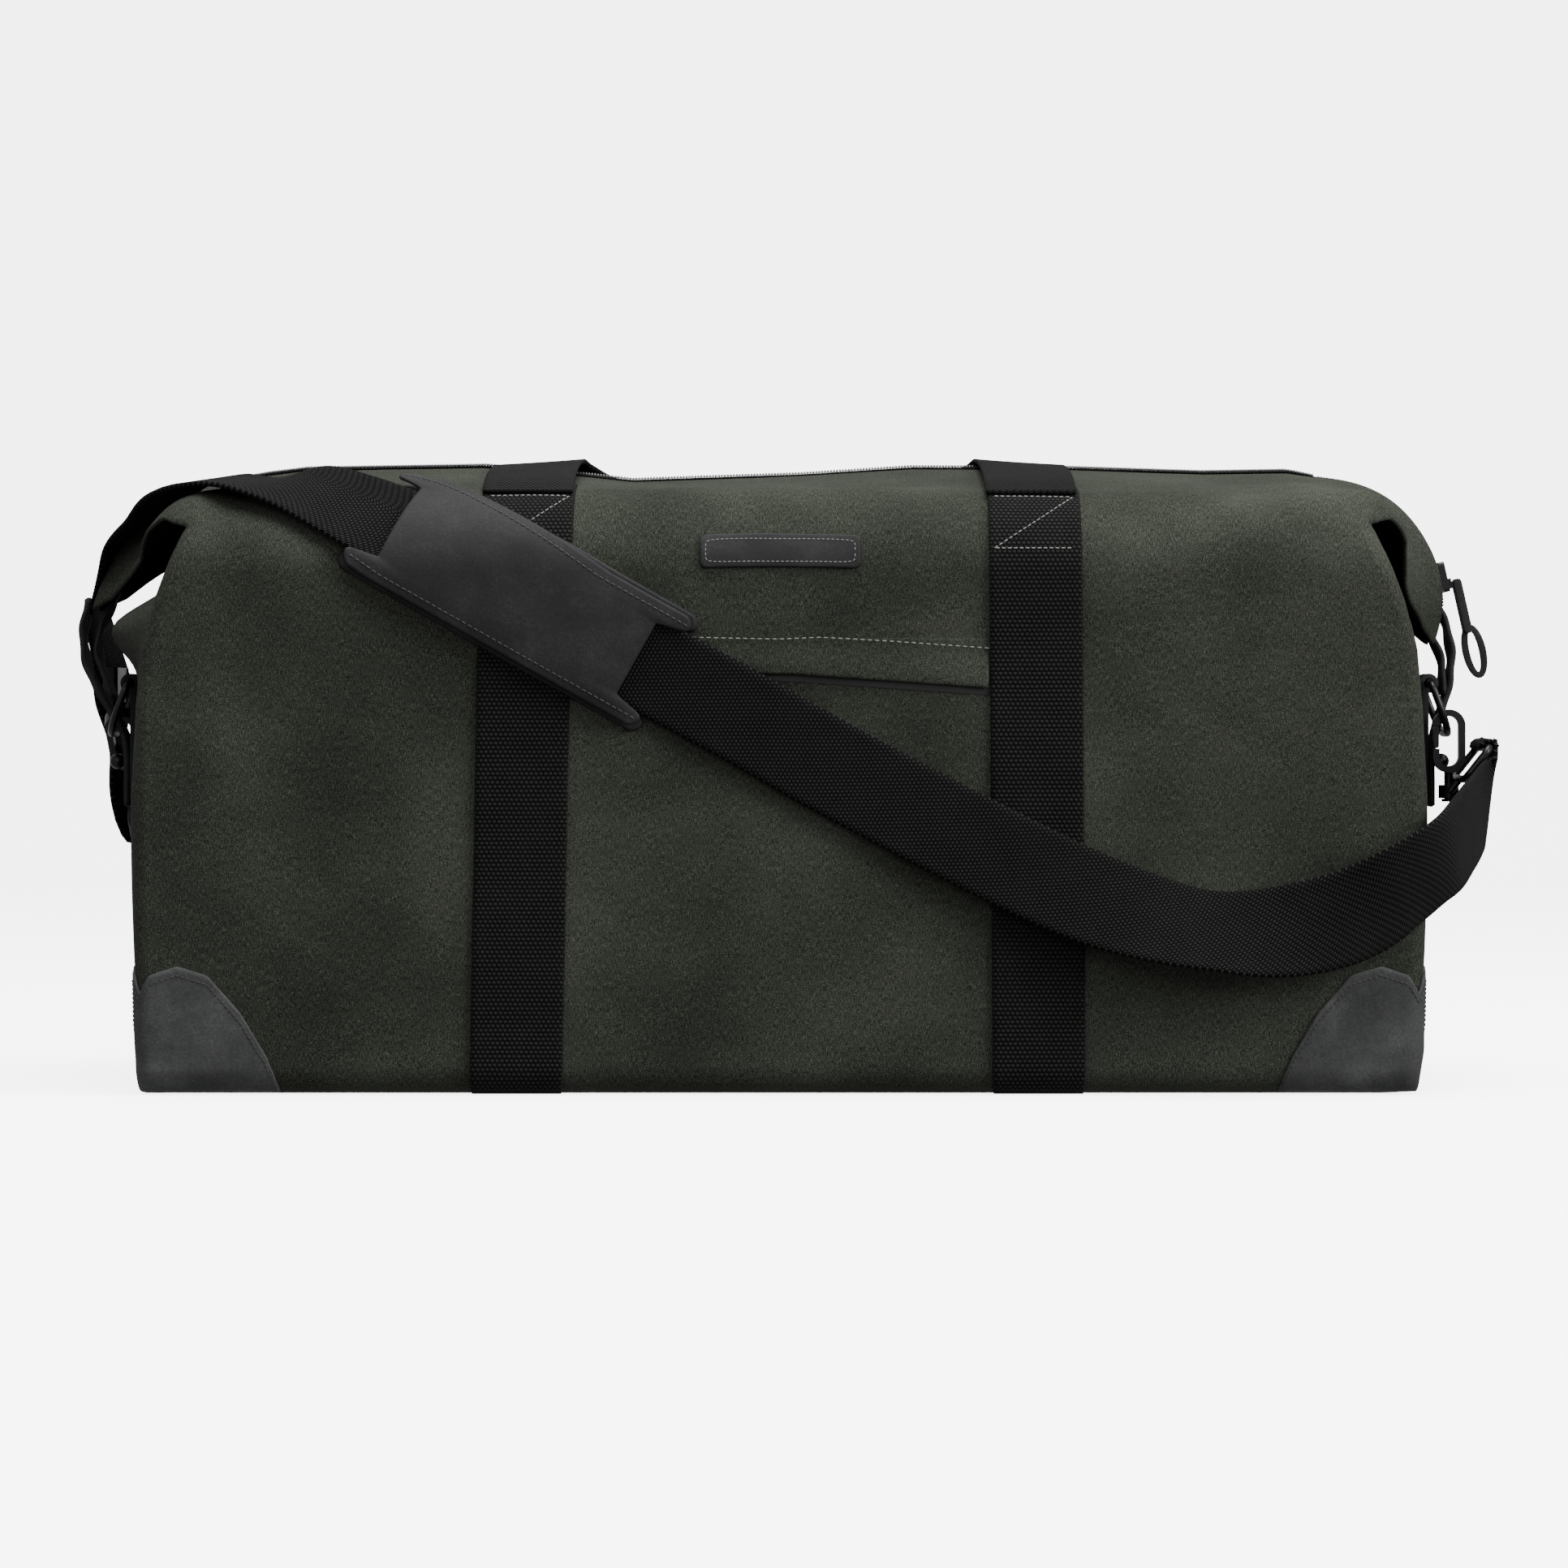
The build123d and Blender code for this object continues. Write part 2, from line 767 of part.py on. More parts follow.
def clip_eye(frame, out, up):
    """Barrel on the hook's post with a wire loop that leaves it in the direction (out, up)."""
    barrel_plane = frame.offset(-barrel_from_throat)
    length = math.hypot(out, up)
    away = frame.x_dir * (out / length) + frame.z_dir * (up / length)
    across = frame.z_dir.cross(frame.x_dir)
    loop_plane = Plane(origin=barrel_plane.origin, x_dir=across, z_dir=across.cross(away))
    with BuildPart() as eye:
        with BuildSketch(barrel_plane.offset(-barrel_half)):
            Circle(barrel_radius)
        extrude(amount=2 * barrel_half)
        with BuildLine(loop_plane) as loop_path:
            FilletPolyline(
                (eye_half, eye_near),
                (eye_half, eye_near + eye_long),
                (-eye_half, eye_near + eye_long),
                (-eye_half, eye_near),
                radius=eye_corner,
                close=True,
            )
        with BuildSketch(Plane(origin=loop_path.line @ 0, z_dir=loop_path.line % 0)):
            Circle(eye_wire)
        sweep(path=loop_path.line)
        for side in (-1, 1):
            start = barrel_plane.origin + across * (side * cheek_offset)
            with BuildSketch(Plane(origin=start, z_dir=away)):
                Circle(eye_wire - 0.1)
            extrude(amount=eye_near)
        with BuildSketch(barrel_plane.offset(-barrel_half - 1)):
            Circle(post_radius + post_clearance)
        extrude(amount=2 * barrel_half + 2, mode=Mode.SUBTRACT)
        with BuildSketch(barrel_plane.offset(-barrel_half)):
            Circle(post_head_radius + gap)
        extrude(amount=-post_head - 2 * gap, mode=Mode.SUBTRACT)
    return eye.part, barrel_plane.origin + away * (eye_near + eye_long), across


half_turn = math.sin(math.radians(45.0))
corner_y = ring_half - ring_corner * (1 - half_turn)
corner_hold = ring_centre + ring_down * (ring_drop - ring_corner * (1 - half_turn))
right_hold = Vector(ring_foot.X, -hook_side, ring_foot.Z)
left_hold = Vector(-corner_hold.X, corner_y, corner_hold.Z)
right_frame = hook_frame(1, right_hold, -3.5, 0.0, 0.0)
left_frame = hook_frame(-1, left_hold, -1.2, 0.08, 1.0)
right_eye, right_bar, right_across = clip_eye(right_frame, 0.62, 0.785)
left_eye, left_bar, left_across = clip_eye(left_frame, 0.0, -1.0)

for piece, label in (
    (clip_hook(right_frame), "hook_right"),
    (clip_hook(left_frame), "hook_left"),
    (clip_gate(right_frame), "gate_right"),
    (clip_gate(left_frame), "gate_left"),
    (right_eye, "swivel_eye_right"),
    (left_eye, "swivel_eye_left"),
):
    with BuildPart() as clip_piece:
        add(piece)
    finish_part(clip_piece, label)

# ---- Shoulder strap ----
strap_y = -half_depth - strap_stand
slope = Vector(math.cos(math.radians(strap_slope)), 0, math.sin(math.radians(strap_slope)))
square_up = Vector(-slope.Z, 0, slope.X)
run_start = Vector(-half_length + 113.0, strap_y, shoulder_height - 18.0)
run_end = run_start + slope * (pad_length + 84.0)
fold_radius = eye_wire + fold_clearance + webbing / 2
right_fold = right_bar + right_frame.x_dir * fold_radius
left_fold = left_bar + left_frame.x_dir * fold_radius
turn_radius = 24.0
right_turn = right_fold + Vector(0, -turn_radius, -2.0)



def fold(bar, frame, across, way):
    """Stations of the webbing's end, from where it meets an eye's bar to its sewn tail behind."""
    turns = [math.radians(45.0 * step) for step in range(6)]
    outward = frame.x_dir * fold_radius
    upward = frame.z_dir * fold_radius * way
    return [(bar + outward * math.cos(t) + upward * math.sin(t), across) for t in turns]


# each station: the strap's middle, and the direction across it from its lower to its upper edge
strap_stations = (
    *reversed(fold(left_bar, left_frame, -left_across, -1)),
    (left_fold + left_frame.z_dir * 8.0 + Vector(-2.5, 0, 0), Vector(0, 0.78, 0.62)),
    (Vector(-end_x - 16.7, left_bar.Y - 2.0, left_bar.Z + 28.0), Vector(0, 0.94, 0.33)),
    (Vector(-end_x - 17.2, 53.0, ring_height - 9.0), Vector(0, 1, 0.02)),
    (Vector(-end_x - 17.2, 53.0, ring_height + 8.0), Vector(0, 1, 0.02)),
    (Vector(-end_x - 18.0, 48.7, hood_z - 10.0), Vector(0, 0.87, 0.5)),
    (Vector(-end_x - 19.0, 37.0, hood_z + 1.7), Vector(0, 0.5, 0.87)),
    (Vector(-end_x - 19.0, 8.0, hood_z + 12.0), Vector(0.1, 0.38, 0.92)),
    (Vector(-hood_x - 53.0, -30.0, hood_z + 24.0), Vector(0.25, 0.5, 0.83)),
    (Vector(-hood_x - 34.0, -58.0, hood_z + 43.5), Vector(0.1, 0.95, 0.28)),
    (Vector(-hood_x - 11.0, -80.0, hood_z + 54.5), Vector(0.12, 0.97, 0.18)),
    (Vector(-hood_x + 12.0, -95.0, shoulder_height + 6.0), Vector(0.3, 0.93, 0.15)),
    (Vector(-hood_x + 31.0, -109.0, shoulder_height + 3.5), Vector(0.47, 0.75, 0.4)),
    (Vector(-hood_x + 48.0, -125.0, shoulder_height - 1.5), Vector(0.52, 0.5, 0.68)),
    (run_start - slope * 19.0, square_up),
    (run_end, square_up),
    (run_end + Vector(44.0, -1.0, -26.0), Vector(0.38, 0.1, 0.92)),
    (Vector(half_length - 154.0, strap_y - 2.0, 90.0), Vector(0.3, 0.25, 0.92)),
    (Vector(half_length - 110.0, strap_y - 4.0, 75.8), Vector(0.08, 0.5, 0.86)),
    (Vector(half_length - 72.0, strap_y - 6.0, 72.2), Vector(-0.02, 0.5, 0.86)),
    (Vector(half_length - 33.0, strap_y - 7.0, 79.0), Vector(-0.16, 0.2, 0.96)),
    (Vector(half_length - 12.0, strap_y - 4.0, 90.0), Vector(-0.24, -0.3, 0.9)),
    (Vector(half_length + 13.0, -half_depth - 2.0, 106.0), Vector(-0.3, -0.6, 0.75)),
    (Vector(half_length + 25.0, -half_depth + 48.0, 116.0), Vector(-0.1, -0.3, 0.95)),
    (right_turn + Vector(-7.0, -1.0, -turn_radius), Vector(0, 0, 1)),
    (right_turn + Vector(-1.0, turn_radius, -turn_radius) * half_turn, Vector(0, -1, 1)),
    *fold(right_bar, right_frame, -right_across, 1),
)


def ribbon(stations, width, thickness, run):
    """Flat webbing laid through its stations, lofted a run of sections at a time and joined."""
    last = len(stations) - 1
    sections = []
    for number, (middle, across) in enumerate(stations):
        before = stations[max(number - 1, 0)][0]
        after = stations[min(number + 1, last)][0]
        along = (after - before).normalized()
        square = (across - along * across.dot(along)).normalized()
        with BuildSketch(Plane(origin=middle, x_dir=square, z_dir=along)) as section:
            Rectangle(width, thickness)
        sections.append(section.sketch.face())
    with BuildPart() as strip:
        for first in range(0, last, run):
            loft(sections[first : first + run + 1], ruled=True)
    return strip.part


strap_webbing = ribbon(strap_stations, webbing_width, webbing, strap_loft_run)

with BuildPart() as shoulder_strap:
    add(strap_webbing)
finish_part(shoulder_strap, "shoulder_strap")

# ---- Shoulder pad: two leaves either side of the strap ----
pad_middle = run_start + slope * (pad_length / 2 - 15.0)
pad_plane = Plane(origin=pad_middle, x_dir=slope, z_dir=(0, -1, 0))


def pad_outline():
    """The pad's long shape, with rounded ears and a notch at each end for the strap."""
    RectangleRounded(pad_length, pad_width, 6.0)
    for side in (-1, 1):
        with Locations((side * pad_length / 2, 0)):
            Ellipse(pad_ear, webbing_width / 2, mode=Mode.SUBTRACT)


pad_lift = webbing / 2 + pad_clearance

with BuildPart() as shoulder_pad_top:
    with BuildSketch(pad_plane.offset(pad_lift)):
        pad_outline()
    extrude(amount=pad_top_thickness)
finish_part(shoulder_pad_top, "shoulder_pad_top")

with BuildPart() as shoulder_pad_backing:
    with BuildSketch(pad_plane.offset(-pad_lift)):
        pad_outline()
    extrude(amount=-pad_back_thickness)
    with BuildSketch(pad_plane.offset(-pad_lift)):
        with Locations((0, pad_width / 2 - 2.0), (0, -pad_width / 2 + 2.0)):
            Rectangle(pad_length - 4 * pad_ear, 3.0)
    extrude(amount=2 * pad_lift - 0.02)
finish_part(shoulder_pad_backing, "shoulder_pad_backing")

# ---- Strap adjuster: a three-bar slide behind the left end ----
adjuster_from = strap_stations[8][0]
adjuster_to = strap_stations[9][0]
adjuster_along = (adjuster_to - adjuster_from).normalized()
adjuster_across = Vector(0, 1, 0) - adjuster_along * adjuster_along.Y
adjuster_plane = Plane(
    origin=(adjuster_from + adjuster_to) / 2,
    x_dir=adjuster_across,
    z_dir=adjuster_along,
)
adjuster_width = webbing_width + 2 * adjuster_wall + 1.6

with BuildPart() as strap_adjuster:
    with BuildSketch(adjuster_plane):
        RectangleRounded(adjuster_width, adjuster_slot + 2 * adjuster_thickness, 2.0)
        Rectangle(webbing_width + 1.6, adjuster_slot, mode=Mode.SUBTRACT)
    extrude(amount=adjuster_length / 2, both=True)
finish_part(strap_adjuster, "strap_adjuster")
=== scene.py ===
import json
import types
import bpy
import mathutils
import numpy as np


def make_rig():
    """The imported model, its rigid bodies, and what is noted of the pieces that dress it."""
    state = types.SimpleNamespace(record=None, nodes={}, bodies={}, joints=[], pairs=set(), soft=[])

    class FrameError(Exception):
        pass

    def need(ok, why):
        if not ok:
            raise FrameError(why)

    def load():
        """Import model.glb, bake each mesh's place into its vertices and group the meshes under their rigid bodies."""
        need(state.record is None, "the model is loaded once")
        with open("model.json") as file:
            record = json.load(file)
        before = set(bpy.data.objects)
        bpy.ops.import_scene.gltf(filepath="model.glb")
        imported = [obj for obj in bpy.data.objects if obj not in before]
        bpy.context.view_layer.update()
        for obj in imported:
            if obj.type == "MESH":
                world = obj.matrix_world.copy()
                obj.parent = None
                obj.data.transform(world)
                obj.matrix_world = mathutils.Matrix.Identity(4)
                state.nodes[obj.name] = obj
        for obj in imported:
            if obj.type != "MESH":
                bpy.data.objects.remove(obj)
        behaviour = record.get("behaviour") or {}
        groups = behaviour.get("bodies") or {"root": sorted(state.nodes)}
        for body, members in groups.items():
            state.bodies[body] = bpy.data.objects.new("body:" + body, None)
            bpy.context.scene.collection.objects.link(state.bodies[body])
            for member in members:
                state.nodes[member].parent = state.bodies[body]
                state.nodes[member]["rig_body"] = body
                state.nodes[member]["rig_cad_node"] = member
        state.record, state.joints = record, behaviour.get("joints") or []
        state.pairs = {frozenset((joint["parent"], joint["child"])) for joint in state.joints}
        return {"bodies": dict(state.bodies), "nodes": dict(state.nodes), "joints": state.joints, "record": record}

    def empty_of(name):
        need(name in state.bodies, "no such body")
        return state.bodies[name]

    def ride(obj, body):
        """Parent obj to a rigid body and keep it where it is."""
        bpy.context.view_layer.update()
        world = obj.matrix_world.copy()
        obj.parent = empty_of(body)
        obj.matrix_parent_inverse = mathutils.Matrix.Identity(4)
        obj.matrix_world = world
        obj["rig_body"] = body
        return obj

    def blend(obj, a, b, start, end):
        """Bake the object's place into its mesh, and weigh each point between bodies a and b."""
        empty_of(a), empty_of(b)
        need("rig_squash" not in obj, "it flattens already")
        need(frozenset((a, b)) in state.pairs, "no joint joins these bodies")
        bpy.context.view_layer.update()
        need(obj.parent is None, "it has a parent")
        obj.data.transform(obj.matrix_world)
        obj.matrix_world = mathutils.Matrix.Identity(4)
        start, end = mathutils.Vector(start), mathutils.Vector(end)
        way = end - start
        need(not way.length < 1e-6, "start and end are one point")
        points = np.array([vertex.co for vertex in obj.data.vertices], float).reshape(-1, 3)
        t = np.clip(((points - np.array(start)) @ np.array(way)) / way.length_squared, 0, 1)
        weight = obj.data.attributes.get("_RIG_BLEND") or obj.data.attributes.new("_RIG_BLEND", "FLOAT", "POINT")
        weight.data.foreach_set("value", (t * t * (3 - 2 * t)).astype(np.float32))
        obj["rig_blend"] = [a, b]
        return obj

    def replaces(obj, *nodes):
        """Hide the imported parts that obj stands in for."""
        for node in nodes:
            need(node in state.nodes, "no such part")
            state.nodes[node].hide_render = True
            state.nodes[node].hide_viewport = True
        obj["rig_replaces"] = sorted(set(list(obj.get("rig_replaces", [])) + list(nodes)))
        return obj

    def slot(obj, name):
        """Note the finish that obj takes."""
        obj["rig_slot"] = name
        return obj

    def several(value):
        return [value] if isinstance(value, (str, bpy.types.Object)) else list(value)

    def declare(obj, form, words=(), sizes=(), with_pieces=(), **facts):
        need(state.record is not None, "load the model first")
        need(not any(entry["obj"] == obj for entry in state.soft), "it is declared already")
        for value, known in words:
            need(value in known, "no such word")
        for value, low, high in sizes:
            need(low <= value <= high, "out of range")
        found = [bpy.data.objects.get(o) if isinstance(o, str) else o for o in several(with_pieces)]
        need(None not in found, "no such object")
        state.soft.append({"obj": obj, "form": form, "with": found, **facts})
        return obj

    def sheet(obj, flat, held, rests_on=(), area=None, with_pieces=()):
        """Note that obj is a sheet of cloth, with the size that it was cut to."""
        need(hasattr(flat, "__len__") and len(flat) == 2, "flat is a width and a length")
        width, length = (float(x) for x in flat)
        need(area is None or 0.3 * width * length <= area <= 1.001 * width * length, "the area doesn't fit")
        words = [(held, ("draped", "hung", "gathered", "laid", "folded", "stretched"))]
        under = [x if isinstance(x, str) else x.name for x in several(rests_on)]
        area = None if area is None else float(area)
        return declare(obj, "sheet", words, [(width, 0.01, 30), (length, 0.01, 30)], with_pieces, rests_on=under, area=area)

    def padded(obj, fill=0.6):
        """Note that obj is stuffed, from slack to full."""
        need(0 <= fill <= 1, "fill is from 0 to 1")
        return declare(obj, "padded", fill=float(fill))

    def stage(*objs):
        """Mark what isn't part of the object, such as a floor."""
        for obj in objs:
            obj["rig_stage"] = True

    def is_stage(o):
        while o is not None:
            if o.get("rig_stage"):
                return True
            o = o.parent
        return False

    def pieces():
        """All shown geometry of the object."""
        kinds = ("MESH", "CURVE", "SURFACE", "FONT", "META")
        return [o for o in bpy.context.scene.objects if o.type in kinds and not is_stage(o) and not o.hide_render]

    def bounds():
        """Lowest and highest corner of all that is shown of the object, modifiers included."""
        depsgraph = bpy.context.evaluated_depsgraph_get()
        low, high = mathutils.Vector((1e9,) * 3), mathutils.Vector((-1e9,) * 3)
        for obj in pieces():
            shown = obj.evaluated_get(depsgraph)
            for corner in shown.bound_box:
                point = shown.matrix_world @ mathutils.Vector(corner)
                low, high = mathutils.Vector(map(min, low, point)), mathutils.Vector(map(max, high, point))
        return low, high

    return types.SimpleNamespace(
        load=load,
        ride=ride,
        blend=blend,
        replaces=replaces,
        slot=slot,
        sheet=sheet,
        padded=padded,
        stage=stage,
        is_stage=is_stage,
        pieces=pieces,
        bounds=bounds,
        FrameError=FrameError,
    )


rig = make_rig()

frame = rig.load()

import json
import math

import bmesh
import bpy
import numpy as np
from mathutils import Vector

MM = 0.001


def note_size(key, sizes):
    """Keeps the overall size before and after in a small file."""
    try:
        kept = json.load(open("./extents.json"))
    except (OSError, ValueError):
        kept = {}
    kept[key] = sizes
    json.dump(kept, open("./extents.json", "w"), indent=1)


def plain(value):
    """Bounds as lists of plain numbers."""
    return [[round(float(c), 4) for c in corner] for corner in value]


note_size("cad", plain(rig.bounds()))


# ---- Shader helpers ----
def maths(tree, kind, *values):
    """A Math node on sockets and plain numbers."""
    node = tree.nodes.new("ShaderNodeMath")
    node.operation = kind
    for slot, value in enumerate(values):
        if isinstance(value, Sock):
            tree.links.new(value.socket, node.inputs[slot])
        else:
            node.inputs[slot].default_value = value
    return Sock(tree, node.outputs[0])


class Sock:
    """A shader socket: an expression on it adds its Math nodes."""

    def __init__(self, tree, socket):
        self.tree = tree
        self.socket = socket

    def __add__(self, other):
        return maths(self.tree, "ADD", self, other)

    def __radd__(self, other):
        return maths(self.tree, "ADD", other, self)

    def __sub__(self, other):
        return maths(self.tree, "SUBTRACT", self, other)

    def __rsub__(self, other):
        return maths(self.tree, "SUBTRACT", other, self)

    def __mul__(self, other):
        return maths(self.tree, "MULTIPLY", self, other)

    def __rmul__(self, other):
        return maths(self.tree, "MULTIPLY", other, self)

    def __pow__(self, exponent):
        return maths(self.tree, "POWER", self, exponent)

    def __gt__(self, limit):
        return maths(self.tree, "GREATER_THAN", self, limit)

    def frac(self):
        return maths(self.tree, "FRACT", self)


class Paint:
    """One procedural material: a Principled shader with noise and maths nodes feeding it."""

    def __init__(self, name, rough, metal=0.0, spec=0.5):
        self.mat = bpy.data.materials.new(name)
        self.mat.use_nodes = True
        self.tree = self.mat.node_tree
        self.shader = self.tree.nodes["Principled BSDF"]
        self.shader.inputs["Roughness"].default_value = rough
        self.shader.inputs["Metallic"].default_value = metal
        self.shader.inputs["Specular IOR Level"].default_value = spec
        self.coords = self.tree.nodes.new("ShaderNodeTexCoord")

    def node(self, kind, **inputs):
        """A node of any other kind, with the values or links of its sockets."""
        node = self.tree.nodes.new(kind)
        for key, value in inputs.items():
            if isinstance(value, bpy.types.NodeSocket):
                self.tree.links.new(value, node.inputs[key])
            else:
                node.inputs[key].default_value = value
        return node

    def uv(self):
        split = self.node("ShaderNodeSeparateXYZ", Vector=self.coords.outputs["UV"])
        return Sock(self.tree, split.outputs[0]), Sock(self.tree, split.outputs[1])

    def noise(self, scale, detail=2.0, rough=0.5, on="Object", stretch=None):
        source = self.coords.outputs[on]
        if stretch:
            source = self.node("ShaderNodeMapping", Scale=stretch, Vector=source).outputs[0]
        sizes = {"Scale": scale, "Detail": detail, "Roughness": rough}
        node = self.node("ShaderNodeTexNoise", **sizes, Vector=source)
        return Sock(self.tree, node.outputs[0])

    def colour(self, value, stops):
        """Base colour from a ramp of stops, each a place and a colour."""
        node = self.tree.nodes.new("ShaderNodeValToRGB")
        elements = node.color_ramp.elements
        while len(elements) < len(stops):
            elements.new(0.5)
        for element, (place, colour) in zip(elements, stops):
            element.position = place
            element.color = (*colour, 1.0)
        self.tree.links.new(value.socket, node.inputs[0])
        self.tree.links.new(node.outputs[0], self.shader.inputs["Base Color"])

    def roughness(self, value):
        self.tree.links.new(value.socket, self.shader.inputs["Roughness"])

    def bump(self, value, strength, distance):
        node = self.node("ShaderNodeBump", Strength=strength, Distance=distance, Height=value.socket)
        self.tree.links.new(node.outputs[0], self.shader.inputs["Normal"])


def canvas_paint():
    p = Paint("canvas", 0.95, spec=0.06)
    u, v = p.uv()
    warp = (u * 1150.0).frac() - 0.5
    weft = (v * 1150.0 + u * 575.0).frac() - 0.5
    weave = -2.0 * (warp * warp + weft * weft)
    fleck = p.noise(3600.0, 2.0, 0.7)
    slub = p.noise(420.0, 2.0, 0.6, on="UV", stretch=(7.0, 1.0, 1.0))
    cloud = p.noise(14.0, 2.0, 0.5)
    mix = fleck * 0.62 + slub * 0.26 + cloud * 0.12
    dark, mid, light = (0.0030, 0.0036, 0.0024), (0.0150, 0.0172, 0.0128), (0.064, 0.069, 0.056)
    p.colour(mix, [(0.40, dark), (0.5, mid), (0.62, light)])
    p.bump(weave * 0.6 + fleck + slub * 0.7, 0.5, 0.0005)
    return p.mat


def webbing_paint(name, across, along, dark, light):
    """Coarse plain weave: rows of raised knots, every second row shifted half a knot; the colour paints a highlight on
    each knot's top and shade between the knots.
    """
    p = Paint(name, 0.9, spec=0.06)
    u, v = p.uv()
    rows = v * (1.0 / along)
    odd = (rows * 0.5).frac() > 0.5
    a = (u * (1.0 / across) + odd * 0.5).frac() * 2.0 - 1.0
    b = rows.frac() * 2.0 - 1.0
    knot = (1.0 - a * a) * (1.0 - b * b)
    fuzz = p.noise(900.0, 3.0, 0.7)
    wear = p.noise(60.0, 2.0, 0.5)
    # painted highlight and shade: knot tops light, the gaps between knots near black, with random fuzz and wear mixed
    # in
    mix = knot**1.4 * (fuzz * 0.9 + 0.2) + wear * 0.12
    p.colour(mix, [(0.05, dark), (0.95, light)])
    p.bump(knot + fuzz * 0.35, 0.8, 0.0007)
    return p.mat


def leather_paint(name, dark, mid, light):
    p = Paint(name, 0.8, spec=0.14)
    cloud = p.noise(38.0, 4.0, 0.6)
    grain = p.noise(700.0, 3.0, 0.6)
    dust = p.noise(1700.0, 1.0, 0.5)
    p.colour(cloud * 0.55 + grain * 0.25 + dust * 0.2, [(0.35, dark), (0.52, mid), (0.72, light)])
    p.bump(grain + cloud * 0.8, 0.25, 0.0005)
    p.roughness(cloud * 0.25 + 0.6)
    return p.mat


def plain_paint(name, colour, rough, metal=0.0, grain=0.0):
    p = Paint(name, rough, metal)
    p.shader.inputs["Base Color"].default_value = (*colour, 1.0)
    if grain:
        p.bump(p.noise(grain, 2.0, 0.5), 0.15, 0.0004)
    return p.mat


CANVAS = canvas_paint()
# for each webbing the dark stop is painted shade between the weave's knots and the light stop a painted highlight on
# their tops
WEBBING = webbing_paint("webbing", 0.0021, 0.0019, (0.0004, 0.0004, 0.0004), (0.021, 0.021, 0.0205))
STRAP = webbing_paint("strap_webbing", 0.0018, 0.0016, (0.0004, 0.0004, 0.0004), (0.019, 0.019, 0.0185))
TAPE = webbing_paint("zip_tape", 0.0009, 0.0009, (0.003, 0.003, 0.003), (0.018, 0.018, 0.018))
LEATHER = leather_paint(
    "leather", (0.0055, 0.0055, 0.006), (0.0105, 0.0105, 0.0112), (0.022, 0.022, 0.023)
)
PATCH = leather_paint(
    "patch_leather", (0.015, 0.0155, 0.0155), (0.030, 0.0305, 0.0305), (0.060, 0.061, 0.061)
)
METAL = plain_paint("black_metal", (0.012, 0.012, 0.013), 0.34, 0.75, 260.0)
COIL = plain_paint("zip_teeth", (0.030, 0.030, 0.031), 0.5)
# near black: the lining's own colour, and also the painted shade in the pocket's mouth
DARK = plain_paint("lining_cloth", (0.006, 0.006, 0.006), 0.95)
BOARD = plain_paint("base_board", (0.01, 0.01, 0.01), 0.7)
GREY_THREAD = plain_paint("thread_grey", (0.13, 0.13, 0.12), 0.8)
DARK_THREAD = plain_paint("thread_dark", (0.012, 0.012, 0.012), 0.7)


# ---- Mesh helpers ----
def build(name, points, quads, uvs, paint):
    """A mesh from points in millimetres, quads and one uv per point in metres."""
    mesh = bpy.data.meshes.new(name)
    mesh.from_pydata((np.asarray(points) * MM).tolist(), [], np.asarray(quads).tolist())
    layer = mesh.uv_layers.new(name="UVMap")
    loops = np.zeros(len(mesh.loops), int)
    mesh.loops.foreach_get("vertex_index", loops)
    layer.data.foreach_set("uv", np.asarray(uvs, float)[loops].astype(np.float32).ravel())
    mesh.shade_smooth()
    mesh.materials.append(paint)
    obj = bpy.data.objects.new(name, mesh)
    bpy.context.scene.collection.objects.link(obj)
    return obj


def normals_of(p):
    """Unit normals of a grid of points."""
    n = np.cross(np.gradient(p, axis=1), np.gradient(p, axis=0))
    return n / np.maximum(np.linalg.norm(n, axis=2, keepdims=True), 1e-9)


def lengths(p):
    """How far along each grid line a point is, across and along, in metres."""
    across = np.linalg.norm(np.diff(p, axis=1), axis=2)
    along = np.linalg.norm(np.diff(p, axis=0), axis=2)
    u = np.concatenate([np.zeros((p.shape[0], 1)), np.cumsum(across, 1)], 1)
    v = np.concatenate([np.zeros((1, p.shape[1])), np.cumsum(along, 0)], 0)
    u = u - u[:, p.shape[1] // 2][:, None]
    return np.stack([u, v], 2) * MM


